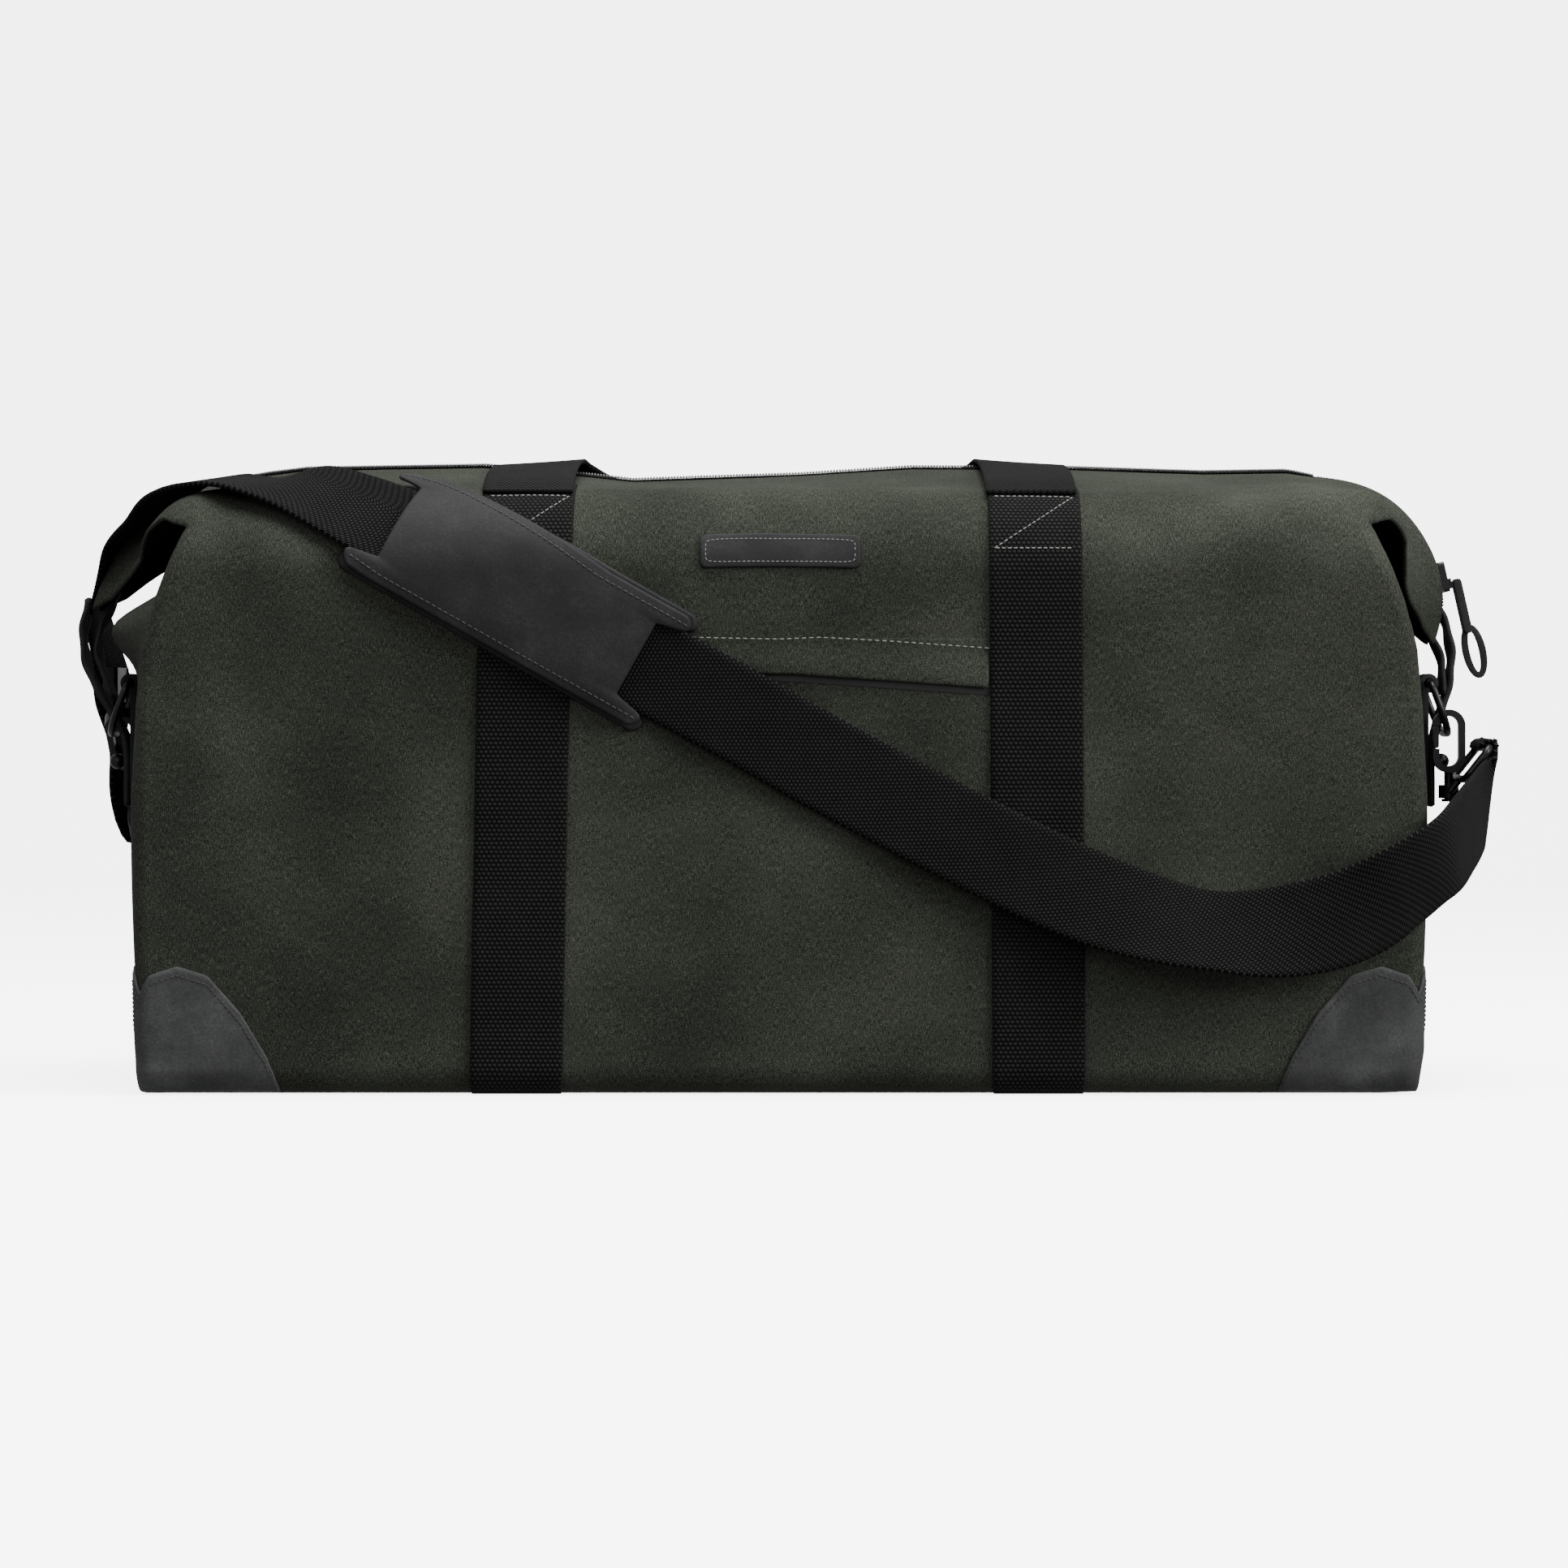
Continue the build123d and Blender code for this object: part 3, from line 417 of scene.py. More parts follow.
def slab(name, p, thick, paint, out=1.0, swell=0.35):
    """A closed sheet of the given thickness around a grid of points, with a rounded rim."""
    rows, cols = p.shape[:2]
    n = normals_of(p) * out
    uv = lengths(p)
    count = rows * cols
    index = np.arange(count).reshape(rows, cols)
    a, b, c, d = index[:-1, :-1], index[:-1, 1:], index[1:, 1:], index[1:, :-1]
    top = np.stack([a, b, c, d], 2).reshape(-1, 4)
    low = np.stack([d, c, b, a], 2).reshape(-1, 4) + count
    ring = np.concatenate([index[0, :-1], index[:-1, -1], index[-1, :0:-1], index[:0:-1, 0]])
    flat = p.reshape(-1, 3)
    nf = n.reshape(-1, 3)
    around = np.roll(flat[ring], -1, 0) - np.roll(flat[ring], 1, 0)
    side = np.cross(around, nf[ring])
    side /= np.maximum(np.linalg.norm(side, axis=1, keepdims=True), 1e-9)
    inner = np.concatenate([index[1, :-1], index[:-1, -2], index[-2, :0:-1], index[:0:-1, 1]])
    inward = flat[inner] - flat[ring]
    side *= -np.sign((side * inward).sum(1, keepdims=True) + 1e-12)
    rim = flat[ring] + side * thick * swell
    points = np.concatenate([flat + nf * thick / 2, flat - nf * thick / 2, rim])
    r = 2 * count + np.arange(len(ring))
    r2 = np.roll(r, -1)
    k, k2 = ring, np.roll(ring, -1)
    rim_top = np.stack([k2, k, r, r2], 1)
    rim_low = np.stack([r2, r, k + count, k2 + count], 1)
    quads = np.concatenate([top, low, rim_top, rim_low])
    flat_uv = uv.reshape(-1, 2)
    uvs = np.concatenate([flat_uv, flat_uv, flat_uv[ring]])
    obj = build(name, points, quads, uvs, paint)
    bm = bmesh.new()
    bm.from_mesh(obj.data)
    bmesh.ops.recalc_face_normals(bm, faces=bm.faces)
    bm.to_mesh(obj.data)
    bm.free()
    return obj


def stitches(name, path, outward, body, paint=GREY_THREAD, pitch=3.2, length=2.3, fat=0.34):
    """Short raised stitches along a path in millimetres; outward gives the surface's normals."""
    path = np.asarray(path, float)
    outward = np.broadcast_to(np.asarray(outward, float), path.shape)
    step = np.linalg.norm(np.diff(path, axis=0), axis=1)
    run = np.concatenate([[0], np.cumsum(step)])
    places = np.arange(pitch / 2, run[-1], pitch)
    at = np.stack([np.interp(places, run, path[:, k]) for k in range(3)], 1)
    ahead = np.stack([np.interp(places + 0.5, run, path[:, k]) for k in range(3)], 1)
    behind = np.stack([np.interp(places - 0.5, run, path[:, k]) for k in range(3)], 1)
    along = ahead - behind
    along /= np.maximum(np.linalg.norm(along, axis=1, keepdims=True), 1e-9)
    up = np.stack([np.interp(places, run, outward[:, k]) for k in range(3)], 1)
    side = np.cross(along, up)
    ring = [math.radians(60 * k) for k in range(6)]
    levels = [(-0.5, 0.35), (-0.3, 1.0), (0.3, 1.0), (0.5, 0.35)]
    points, quads, uvs = [], [], []
    for number in range(len(places)):
        base = len(points)
        for part, size in levels:
            centre = at[number] + along[number] * part * length
            for t in ring:
                around = side[number] * math.cos(t) + up[number] * math.sin(t)
                points.append(centre + around * fat * size)
                uvs.append((0.0, 0.0))
        for level in range(3):
            for k in range(6):
                k2 = (k + 1) % 6
                row, row2 = base + level * 6, base + level * 6 + 6
                quads.append((row + k, row + k2, row2 + k2, row2 + k))
    obj = build(name, points, quads, uvs, paint)
    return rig.ride(obj, body)


def smooth(t):
    t = np.clip(t, 0, 1)
    return t * t * (3 - 2 * t)


# ---- The bag's skin ----
HALF_DEPTH = 128.0
SHOULDER = 38.0  # radius of the rounded edge between wall and roof
SHOULDER_LOW = 227.0  # height where the wall starts to round over
SHOULDER_TOP = SHOULDER_LOW + SHOULDER
TUCK = 9.0  # radius where the wall turns under the base
BASE_Z = 3.0
TUCK_RUN = TUCK * math.pi / 2
WALL_TOP = TUCK_RUN + SHOULDER_LOW - BASE_Z - TUCK
ARC_END = WALL_TOP + SHOULDER * math.pi / 2
ROOF_RUN = 78.4
ROOF_END = ARC_END + ROOF_RUN
CROWN = 273.0
RIDGE_X = (-300, -245, -216, -134, -100, -67, 10, 60, 134, 193, 231, 250, 300)
RIDGE_Z = (-1, 0.0, 3.6, 5.0, 2.0, -1.6, 1.0, 4.2, 3.9, 2.0, 2.6, 0.0, -1)
EDGE_Z = (0, 20, 60, 130, 170, 195, 216, 228, 240, 250, 262)
EDGE_X = (278, 280, 281, 281.5, 280.5, 278, 272.5, 268, 263, 259.5, 256)

# folds pressed into the canvas: start, end (x, height along the skin), width, height; all millimetres
FOLDS = [
    (-252, 262, -226, 196, 15, -3.0),
    (-264, 236, -250, 150, 15, 2.4),
    (-240, 214, -216, 110, 30, -3.0),
    (-238, 268, -190, 252, 16, -2.2),
    (-205, 282, -150, 274, 16, 1.8),
    (-244, 150, -256, 60, 24, 2.2),
    (252, 262, 232, 200, 15, -2.6),
    (246, 268, 205, 246, 14, 2.0),
    (238, 246, 190, 216, 18, -2.2),
    (264, 232, 257, 150, 15, 2.0),
    (214, 284, 190, 270, 13, -3.2),
    (232, 298, 200, 302, 13, 3.0),
    (226, 180, 208, 80, 32, -2.2),
    (60, 120, 20, 60, 36, 1.6),
    (-40, 170, -70, 90, 34, -1.6),
    (176, 300, 120, 294, 15, -2.0),
    (40, 302, -40, 294, 22, 1.8),
    (70, 186, 90, 150, 18, 1.2),
    (-150, 60, -200, 30, 24, 1.6),
    (150, 50, 230, 62, 22, 1.8),
]


def relief(x, s, seed):
    """How far the canvas stands out of its even shape, from folds and soft unevenness."""
    total = np.zeros_like(x)
    for x0, s0, x1, s1, wide, high in FOLDS:
        if seed:
            x0, x1 = -x0 * 0.94, -x1
        dx, ds = x1 - x0, s1 - s0
        t = np.clip(((x - x0) * dx + (s - s0) * ds) / (dx * dx + ds * ds), 0, 1)
        away = np.hypot(x - x0 - t * dx, s - s0 - t * ds)
        total += high * np.exp(-((away / wide) ** 2)) * (1 - 0.6 * t)
    k = seed * 1.7
    total += 0.9 * np.sin(x / 61 + 1.3 + k) * np.sin(s / 47 + 0.4 + k)
    total += 0.45 * np.sin(x / 23 + s / 31 + k) * np.sin(s / 19 - x / 43)
    total += 0.16 * np.sin(x / 9 + 2 * np.sin(s / 13)) * np.sin(s / 7 + x / 17 + k)
    rest = smooth((s - 4) / 30)
    return total * rest


def skin(x, s, lift=0.0, seed=0):
    """Points on the front canvas at x and a height s measured along it from the base edge."""
    x, s = np.broadcast_arrays(np.asarray(x, float), np.asarray(s, float))
    low = np.clip(s / TUCK_RUN, 0, 1) * math.pi / 2
    y = -(HALF_DEPTH - TUCK) - TUCK * np.sin(low)
    z = BASE_Z + TUCK * (1 - np.cos(low))
    ny, nz = -np.sin(low), -np.cos(low)
    wall = np.clip(s - TUCK_RUN, 0, WALL_TOP - TUCK_RUN)
    z = z + wall
    turn = np.clip((s - WALL_TOP) / SHOULDER, 0, math.pi / 2)
    y = y + SHOULDER * (1 - np.cos(turn))
    z = z + SHOULDER * np.sin(turn)
    over = s > WALL_TOP
    ny = np.where(over, -np.cos(turn), ny)
    nz = np.where(over, np.sin(turn), nz)
    roof = np.clip(s - ARC_END, 0, None)
    y = y + roof * 0.995
    ridge = np.interp(x, RIDGE_X, RIDGE_Z)
    z = z + roof * (CROWN - SHOULDER_TOP) / ROOF_RUN + ridge * smooth(roof / ROOF_RUN)
    d = relief(x, s, seed) * (1 - 0.75 * smooth(roof / 60)) + lift
    return np.stack([x, y + ny * d, z + nz * d], -1)


def wall_s(z):
    """The height along the skin of a point at height z on the flat wall."""
    return TUCK_RUN + z - BASE_Z - TUCK


def skin_s(z):
    """The height along the skin of a point at height z on the wall or shoulder."""
    if z <= SHOULDER_LOW:
        return wall_s(z)
    return WALL_TOP + SHOULDER * math.asin((z - SHOULDER_LOW) / SHOULDER)


HOOD_S = (257, 273, 289, 319, 340, 354, ROOF_END)
HOOD_R = (3.0, 14.0, 26.0, 42.0, 53.0, 56.0, 57.0)
HOOD_TURN = (70, 70, 81, 91.4, 93, 102, 108)
HOOD_X = (256.0, 256.0, 251.5, 238.0, 232.0, 236.5, 245.0)


PULLED_OUT = 0.24  # how much further the left fold is drawn out than the right


def shell(seed):
    """The front canvas from base edge to zip, with its ends curling back and, higher up, over."""
    tuck, wall, roof = np.linspace(0, 24, 10), np.linspace(26, 226, 78), np.linspace(228, ROOF_END, 88)
    s = np.concatenate([tuck, wall, roof])
    inner = np.linspace(-1, 1, 250)
    tail = np.linspace(0, 1, 46)[1:]
    rows = []
    for height in s:
        hood = smooth((height - 250) / 14)
        z_here = skin(0.0, height)[2] if height < 262 else 262
        x_wall = float(np.interp(z_here, EDGE_Z, EDGE_X)) - 6.0
        centre = x_wall * (1 - hood) + float(np.interp(height, HOOD_S, HOOD_X)) * hood
        radius = 6.0 * (1 - hood) + float(np.interp(height, HOOD_S, HOOD_R)) * hood
        turn = math.radians(86 * (1 - hood) + float(np.interp(height, HOOD_S, HOOD_TURN)) * hood)
        middle = skin(inner * centre, height, 0.0, seed)
        tails = []
        for side in (-1, 1):
            start = skin(side * centre, height, 0.0, seed)
            angle = tail * turn * (1 - 0.15 * hood if side < 0 else 1)
            reach = radius * np.sin(angle)
            drop = radius * (1 - np.cos(angle))
            ripple = hood * np.sin(angle * 2.2) * (
                1.1 * np.sin(height / 6.5 + side + seed) + 0.8 * np.sin(height / 15 + angle * 4 + side)
            )
            reach = reach + ripple
            if side < 0:
                reach = reach * (1 + PULLED_OUT * hood * (angle / turn) ** 2)
            x = start[0] + side * reach
            y = start[1] + drop * (1 - hood)
            z = start[2] - drop * hood
            tails.append(np.stack([x, np.broadcast_to(y, x.shape), z], 1))
        rows.append(np.concatenate([tails[0][::-1], middle, tails[1]]))
    return np.array(rows)


front = shell(0)
back = shell(1) * np.array([1, -1, 1])


def rooted(obj, *nodes):
    """The piece rides on the root body in place of the named CAD nodes."""
    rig.ride(obj, "root")
    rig.replaces(obj, *nodes)
    return obj


panel_front = slab("canvas_front", front, 1.8, CANVAS)
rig.slot(panel_front, "canvas")
rooted(panel_front, "front_panel")
panel_back = slab("canvas_back", back, 1.8, CANVAS)
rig.slot(panel_back, "canvas")
rooted(panel_back, "back_panel")


def end_skin(side, y, z, lift=0.0):
    """Points on an end of the bag: nearly flat, bulging a little, drawn in under the folded-over top."""
    y, z = np.broadcast_arrays(np.asarray(y, float), np.asarray(z, float))
    edge = np.interp(z, EDGE_Z, EDGE_X)
    belly = 11.0 * (1 - (y / 124.0) ** 2) * smooth((z + 6) / 40)
    draw = np.clip(z - 205, 0, None) ** 2 * 0.022
    low = np.clip(1 - z / 12, 0, 1) ** 2 * 6
    ripple = 0.7 * np.sin(z / 23 + y / 31) + 0.5 * np.sin(y / 17 + 2)
    if side < 0:
        belly = belly + 17.0 * np.exp(-(((z - 205) / 13) ** 2)) * (1 - (y / 124.0) ** 2)
    x = edge + belly - draw - low + ripple * smooth((z - 5) / 30) - 1.0
    return np.stack([side * (x + lift), y, z], -1)


def end_panels():
    """Both ends, kept inside the rounded shoulder at their top."""
    for side, word in ((-1, "left"), (1, "right")):
        across, zz = np.meshgrid(np.linspace(-1, 1, 90), np.linspace(3, 250, 90))
        above = np.clip(zz - SHOULDER_LOW, 0, None)
        yy = across * np.minimum(123.5, HALF_DEPTH - SHOULDER + np.sqrt(SHOULDER**2 - above**2) - 7.0)
        wall = slab(f"canvas_end_{word}", end_skin(side, yy, zz), 1.6, CANVAS)
        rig.slot(wall, "canvas")
        rooted(wall, f"end_panel_{word}")


end_panels()


def base_cloth():
    """The base: one sheet curving up a little at its edge."""
    bx, by = np.meshgrid(np.linspace(-1, 1, 90), np.linspace(-1, 1, 50))
    rim_rise = np.clip(np.maximum(np.abs(bx) - 0.965, np.abs(by) - 0.93) / 0.05, 0, 1) ** 2 * 3.2
    base_half = 276 + 8.0 * (1 - by**2)
    base_points = np.stack([bx * base_half, by * 121.5, 1.2 + rim_rise], -1)
    base = slab("base_cloth", base_points, 2.2, CANVAS)
    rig.slot(base, "canvas")
    rooted(base, "base_panel")


base_cloth()


# ---- Webbing bands up the front and back ----
def ribbon_on_skin(x_low, x_high, s0, s1, lift, wide, steps, seed=0):
    s = np.linspace(s0, s1, steps)
    w = np.linspace(-wide / 2, wide / 2, 17)
    centre = np.interp(s, (s0, s1), (x_low, x_high))
    ss, ww = np.meshgrid(s, w, indexing="ij")
    return skin(ww + centre[:, None], ss, lift, seed)


BAND_LOW = {"left": -115.0, "right": 113.5}
BAND_HIGH = {"left": -109.5, "right": 111.5}
BAND_END = ARC_END + 6.0


def bands():
    """Four bands, two up the front and two up the back."""
    for word in ("left", "right"):
        strip = ribbon_on_skin(BAND_LOW[word], BAND_HIGH[word], 2.0, BAND_END, 2.1, 39.0, 170)
        band = slab(f"band_front_{word}_cloth", strip, 2.0, WEBBING)
        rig.slot(band, "webbing")
        rooted(band, f"band_front_{word}")
        behind = ribbon_on_skin(BAND_LOW[word], BAND_HIGH[word], 2.0, BAND_END, 2.1, 39.0, 170, 1)
        band = slab(f"band_back_{word}_cloth", behind * np.array([1, -1, 1]), 2.0, WEBBING)
        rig.slot(band, "webbing")
        rooted(band, f"band_back_{word}")


bands()


def on_skin(points, lift):
    """A path laid on the front: (x, z) corners, sampled closely, and the normals there."""
    path = []
    for (x0, z0), (x1, z1) in zip(points[:-1], points[1:]):
        count = max(2, int(math.hypot(x1 - x0, z1 - z0) / 1.5))
        for t in np.linspace(0, 1, count, endpoint=False):
            path.append((x0 + (x1 - x0) * t, z0 + (z1 - z0) * t))
    path.append(points[-1])
    at = np.array([skin(x, skin_s(z), lift) for x, z in path])
    out = np.array([skin(x, skin_s(z), lift + 1) for x, z in path]) - at
    return at, out


STITCH_TOP = 259.5
STITCH_LOW = 238.0


def band_stitches():
    """Two level seams and a slanting one at the top of each front band."""
    for word, mid in BAND_HIGH.items():
        low, high = mid - 17.5, mid + 17.5
        level_top = [(low, STITCH_TOP), (high, STITCH_TOP)]
        level_low = [(low, STITCH_LOW), (high, STITCH_LOW)]
        slanting = [(high, STITCH_TOP), (low, STITCH_LOW)]
        for number, corners in enumerate((level_top, level_low, slanting)):
            at, out = on_skin(corners, 3.25)
            stitches(f"band_stitch_{word}_{number}", at, out, "root", pitch=2.6, length=1.8, fat=0.28)


band_stitches()


# ---- Carry handles ----
def catmull(points, steps):
    """A smooth curve through points, evenly split between each pair."""
    p = np.asarray(points, float)
    p = np.concatenate([[2 * p[0] - p[1]], p, [2 * p[-1] - p[-2]]])
    out = []
    for i in range(1, len(p) - 2):
        t = np.linspace(0, 1, steps, endpoint=False)[:, None]
        a, b, c, d = p[i - 1], p[i], p[i + 1], p[i + 2]
        second = 2 * a - 5 * b + 4 * c - d
        third = 3 * b - a - 3 * c + d
        out.append(0.5 * (2 * b + (c - a) * t + second * t**2 + third * t**3))
    out.append(p[-2][None])
    return np.concatenate(out)


def resample(curve, other, step):
    """Both curves again at an even spacing along the first."""
    run = np.concatenate([[0], np.cumsum(np.linalg.norm(np.diff(curve, axis=0), axis=1))])
    places = np.linspace(0, run[-1], max(4, int(run[-1] / step)))
    first = np.stack([np.interp(places, run, curve[:, k]) for k in range(3)], 1)
    second = np.stack([np.interp(places, run, other[:, k]) for k in range(3)], 1)
    return first, second, run[-1]


def ribbon(stations, wide, step=2.0):
    """A grid along stations of (middle, across)."""
    mids = catmull([m for m, _ in stations], 12)
    sides = catmull([np.asarray(w, float) / np.linalg.norm(w) for _, w in stations], 12)
    mids, sides, run = resample(mids, sides, step)
    along = np.gradient(mids, axis=0)
    along /= np.linalg.norm(along, axis=1, keepdims=True)
    sides = sides - along * (sides * along).sum(1, keepdims=True)
    sides /= np.linalg.norm(sides, axis=1, keepdims=True)
    w = np.linspace(-wide / 2, wide / 2, 17)
    return mids[:, None] + sides[:, None] * w[None, :, None], run


HANDLE_WIDE = 38.5


def half_handle(flip):
    """Half of the front loop, from its middle behind the zip to its end on the band."""
    return [
        ((0, 60, 271.6), (0, 1, 0.0)),
        ((flip * 38, 59, 271.8), (0.0, 1, -0.02)),
        ((flip * 66, 55, 272.5), (flip * 0.2, 1, 0.0)),
        ((flip * 90, 41, 274.0), (flip * 0.75, 0.7, -0.05)),
        ((flip * 104, 18, 278.0), (flip, 0.22, -0.1)),
        ((flip * 108, 0, 280.6), (flip, 0.02, -0.08)),
        ((flip * 110, -22, 279.4), (flip, 0, -0.04)),
        ((flip * 110.5, -60, 274.8), (flip, 0, 0.0)),
        ((flip * 110.5, -92, 269.6), (flip, 0, 0.0)),
        ((flip * 110.5, -110, 264.0), (flip, 0, 0.0)),
    ]


def front_handle():
    """The front loop, laid back over the zip."""
    grid, _ = ribbon(half_handle(-1)[::-1] + half_handle(1)[1:], HANDLE_WIDE)
    handle = slab("front_handle_webbing", grid, 2.2, WEBBING)
    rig.slot(handle, "webbing")
    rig.replaces(handle, "front_handle")
    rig.blend(handle, "root", "front_handle", start=(0, -0.113, 0.262), end=(0, -0.094, 0.27))


front_handle()


def half_back_handle(flip):
    """Half of the back loop, hanging down behind, from its low middle to its end on the roof."""
    return [
        ((0, 137.5, 150), (0, -0.06, 1)),
        ((flip * 40, 137.5, 150.5), (0, -0.06, 1)),
        ((flip * 70, 137.3, 154), (-flip * 0.25, -0.05, 1)),
        ((flip * 95, 137.0, 170), (-flip * 0.8, -0.03, 0.6)),
        ((flip * 108, 136.5, 195), (-flip, 0, 0.2)),
        ((flip * 110.5, 134.8, 218), (-flip, 0, 0.02)),
        ((flip * 110.5, 132.0, 240), (-flip, 0, 0.0)),
        ((flip * 110.5, 122.5, 257.5), (-flip, 0, 0.0)),
        ((flip * 110.5, 108.0, 267.5), (-flip, 0, 0.0)),
        ((flip * 110.5, 90.0, 270.6), (-flip, 0, 0.0)),
    ]


def back_handle():
    """The back loop, hanging down behind."""
    grid, _ = ribbon(half_back_handle(-1)[::-1] + half_back_handle(1)[1:], HANDLE_WIDE)
    handle = slab("back_handle_webbing", grid, 2.2, WEBBING)
    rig.slot(handle, "webbing")
    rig.replaces(handle, "back_handle")
    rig.blend(handle, "root", "back_handle", start=(0, 0.094, 0.27), end=(0, 0.113, 0.262))


back_handle()


# ---- Leather corner patches ----
PATCH_D = (0, 6, 18, 31, 45, 55, 60)
PATCH_Z = (44, 52, 56, 52, 35.5, 18, 2)
PATCH_END = 46


def patch_height(d):
    """How high a patch reaches; it is the same shape on the bag's end, only narrower."""
    narrower = -d * PATCH_D[-1] / PATCH_END
    return np.interp(np.where(d < 0, narrower, d), PATCH_D, PATCH_Z)


CORNER_R = 6.0
CORNER_RUN = 9.4  # how far round the corner one radian of turn goes


def corner(side, d, z, lift, face):
    """Points round a bottom corner: d runs inward on the long face when positive, else round the end."""
    d, z = np.broadcast_arrays(np.asarray(d, float), np.asarray(z, float))
    edge = np.interp(z, EDGE_Z, EDGE_X)
    s = np.where(z < 12, np.clip((z - 3) / TUCK, 0, 1) ** 0.5 * TUCK_RUN, TUCK_RUN + z - 12)
    on_front = skin(side * (edge - np.clip(d, 0, None) - CORNER_R), s, lift)
    turn = np.clip((CORNER_R - d) / CORNER_RUN, 0, math.pi / 2)
    r = CORNER_R + lift
    bend_x = side * (edge - CORNER_R + r * np.sin(turn))
    bend = np.stack([bend_x, on_front[..., 1] + r - r * np.cos(turn), on_front[..., 2]], -1)
    turned = CORNER_R - CORNER_RUN * math.pi / 2
    y_end = bend[..., 1] + np.clip(turned - d, 0, None)
    on_end = end_skin(side, y_end, z, lift)
    mixed = np.where((d > CORNER_R)[..., None], skin(side * (edge - d), s, lift), bend)
    mixed = np.where((d < turned)[..., None], on_end, mixed)
    return mixed * np.array([1, face, 1])


def corner_patches():
    """Four rounded leather patches, each with a dark seam."""
    for face, word in ((1, "front"), (-1, "back")):
        for side, hand in ((-1, "left"), (1, "right")):
            span = np.linspace(-46, 60, 90)
            cover = patch_height(span)
            level = np.linspace(0, 1, 40)
            dd, ll = np.meshgrid(span, level)
            zz = 2.0 + (cover[None, :] - 2.0) * ll
            pucker = 1.0 * np.exp(-(((dd - 3) / 15) ** 2)) * np.sin(zz / 5.0) * smooth((30 - zz) / 20)
            points = corner(side, dd, zz, 1.5, face)
            points = points + normals_of(points) * (pucker[..., None] * 0.6)
            leather = slab(f"corner_{word}_{hand}", points, 1.5, PATCH)
            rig.slot(leather, "leather")
            rooted(leather, f"corner_patch_{word}_{hand}")
            d_line = np.linspace(-40, 57, 140)
            z_line = np.clip(patch_height(d_line) - 3.6, 4, None)
            line = corner(side, d_line, z_line, 2.4, face)
            out = corner(side, d_line, z_line, 3.4, face) - line
            stitches(f"corner_stitch_{word}_{hand}", line, out, "root", DARK_THREAD, 2.4, 1.7, 0.28)


corner_patches()


# ---- Label patch, blank ----
def label_grid(half, low, high, lift, cut):
    u = np.linspace(-1, 1, 60)
    v = np.linspace(-1, 1, 24)
    uu, vv = np.meshgrid(u, v)
    side = half - cut * (1 - np.sqrt(np.clip(1 - np.clip((np.abs(vv) - 0.62) / 0.38, 0, 1) ** 2, 0, 1)))
    x = uu * side + 0.5
    z = (low + high) / 2 + vv * (high - low) / 2 - 0.6 * (x / half) ** 2
    s = np.vectorize(skin_s)(z)
    return skin(x, s, lift)


def label_patch():
    """The blank label with its seam."""
    label = slab("label_leather", label_grid(34.7, 231.0, 244.3, 1.9, 2.4), 1.3, LEATHER)
    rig.slot(label, "leather")
    rooted(label, "label_patch")
    ring = []
    for t in np.linspace(0, 2 * math.pi, 220):
        c, q = math.cos(t), math.sin(t)
        x = 32.6 * np.sign(c) * abs(c) ** 0.18
        ring.append((x + 0.5, 237.65 + 4.7 * np.sign(q) * abs(q) ** 0.28 - 0.6 * (x / 34.7) ** 2))
    at = np.array([skin(x, skin_s(z), 2.65) for x, z in ring])
    out = np.array([skin(x, skin_s(z), 3.65) for x, z in ring]) - at
    stitches("label_stitch", at, out, "root", GREY_THREAD, 2.1, 1.4, 0.2)


label_patch()


# ---- Front pocket: an overhanging hem over a slit whose shade is painted as a dark strip ----
def slit_z(x):
    return np.interp(x, (-92, 7, 95), (185.5, 184.2, 178.0))


HEM_TOP = 199.5


def front_pocket():
    """Hem, painted shade of the mouth, and seam of the slip pocket."""
    hx = np.linspace(-91, 91, 120)
    rows = []
    for t in np.linspace(0, 1, 18):
        z = HEM_TOP - (HEM_TOP - slit_z(hx)) * t
        rows.append(skin(hx, wall_s(z), 0.5 + 2.3 * smooth(t * 1.1) + 0.4 * np.sin(hx / 13) * t))
    hem = slab("pocket_hem_cloth", np.array(rows), 1.2, CANVAS)
    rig.slot(hem, "canvas")
    rooted(hem, "pocket_hem")
    # painted shade: the shade inside the pocket's mouth is a near-black strip laid on the canvas under the hem's edge,
    # given the lining's finish
    rows = []
    for t in np.linspace(0, 1, 8):
        z = slit_z(hx) + 2.0 - 5.6 * t
        rows.append(skin(hx, wall_s(z), 1.05))
    slit = slab("pocket_mouth_painted_shade", np.array(rows), 0.4, DARK)
    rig.slot(slit, "lining_cloth")
    rooted(slit, "front_pocket")
    sx = np.linspace(-90, 92, 200)
    sz = np.interp(sx, (-90, 0, 18, 50, 95), (201.0, 199.2, 200.0, 198.2, 195.0))
    at = skin(sx, wall_s(sz), 1.9)
    out = skin(sx, wall_s(sz), 2.9) - at
    stitches("pocket_stitch", at, out, "root", pitch=3.2, length=2.0, fat=0.26)


front_pocket()


# ---- Zip along the ridge and down over both ends ----
FOLD_X = 245.0  # centre and radius of the fold that the zip follows down at each end
FOLD_Z = 216.0
FOLD_R = 57.0
FOLD_TURN = math.radians(108)


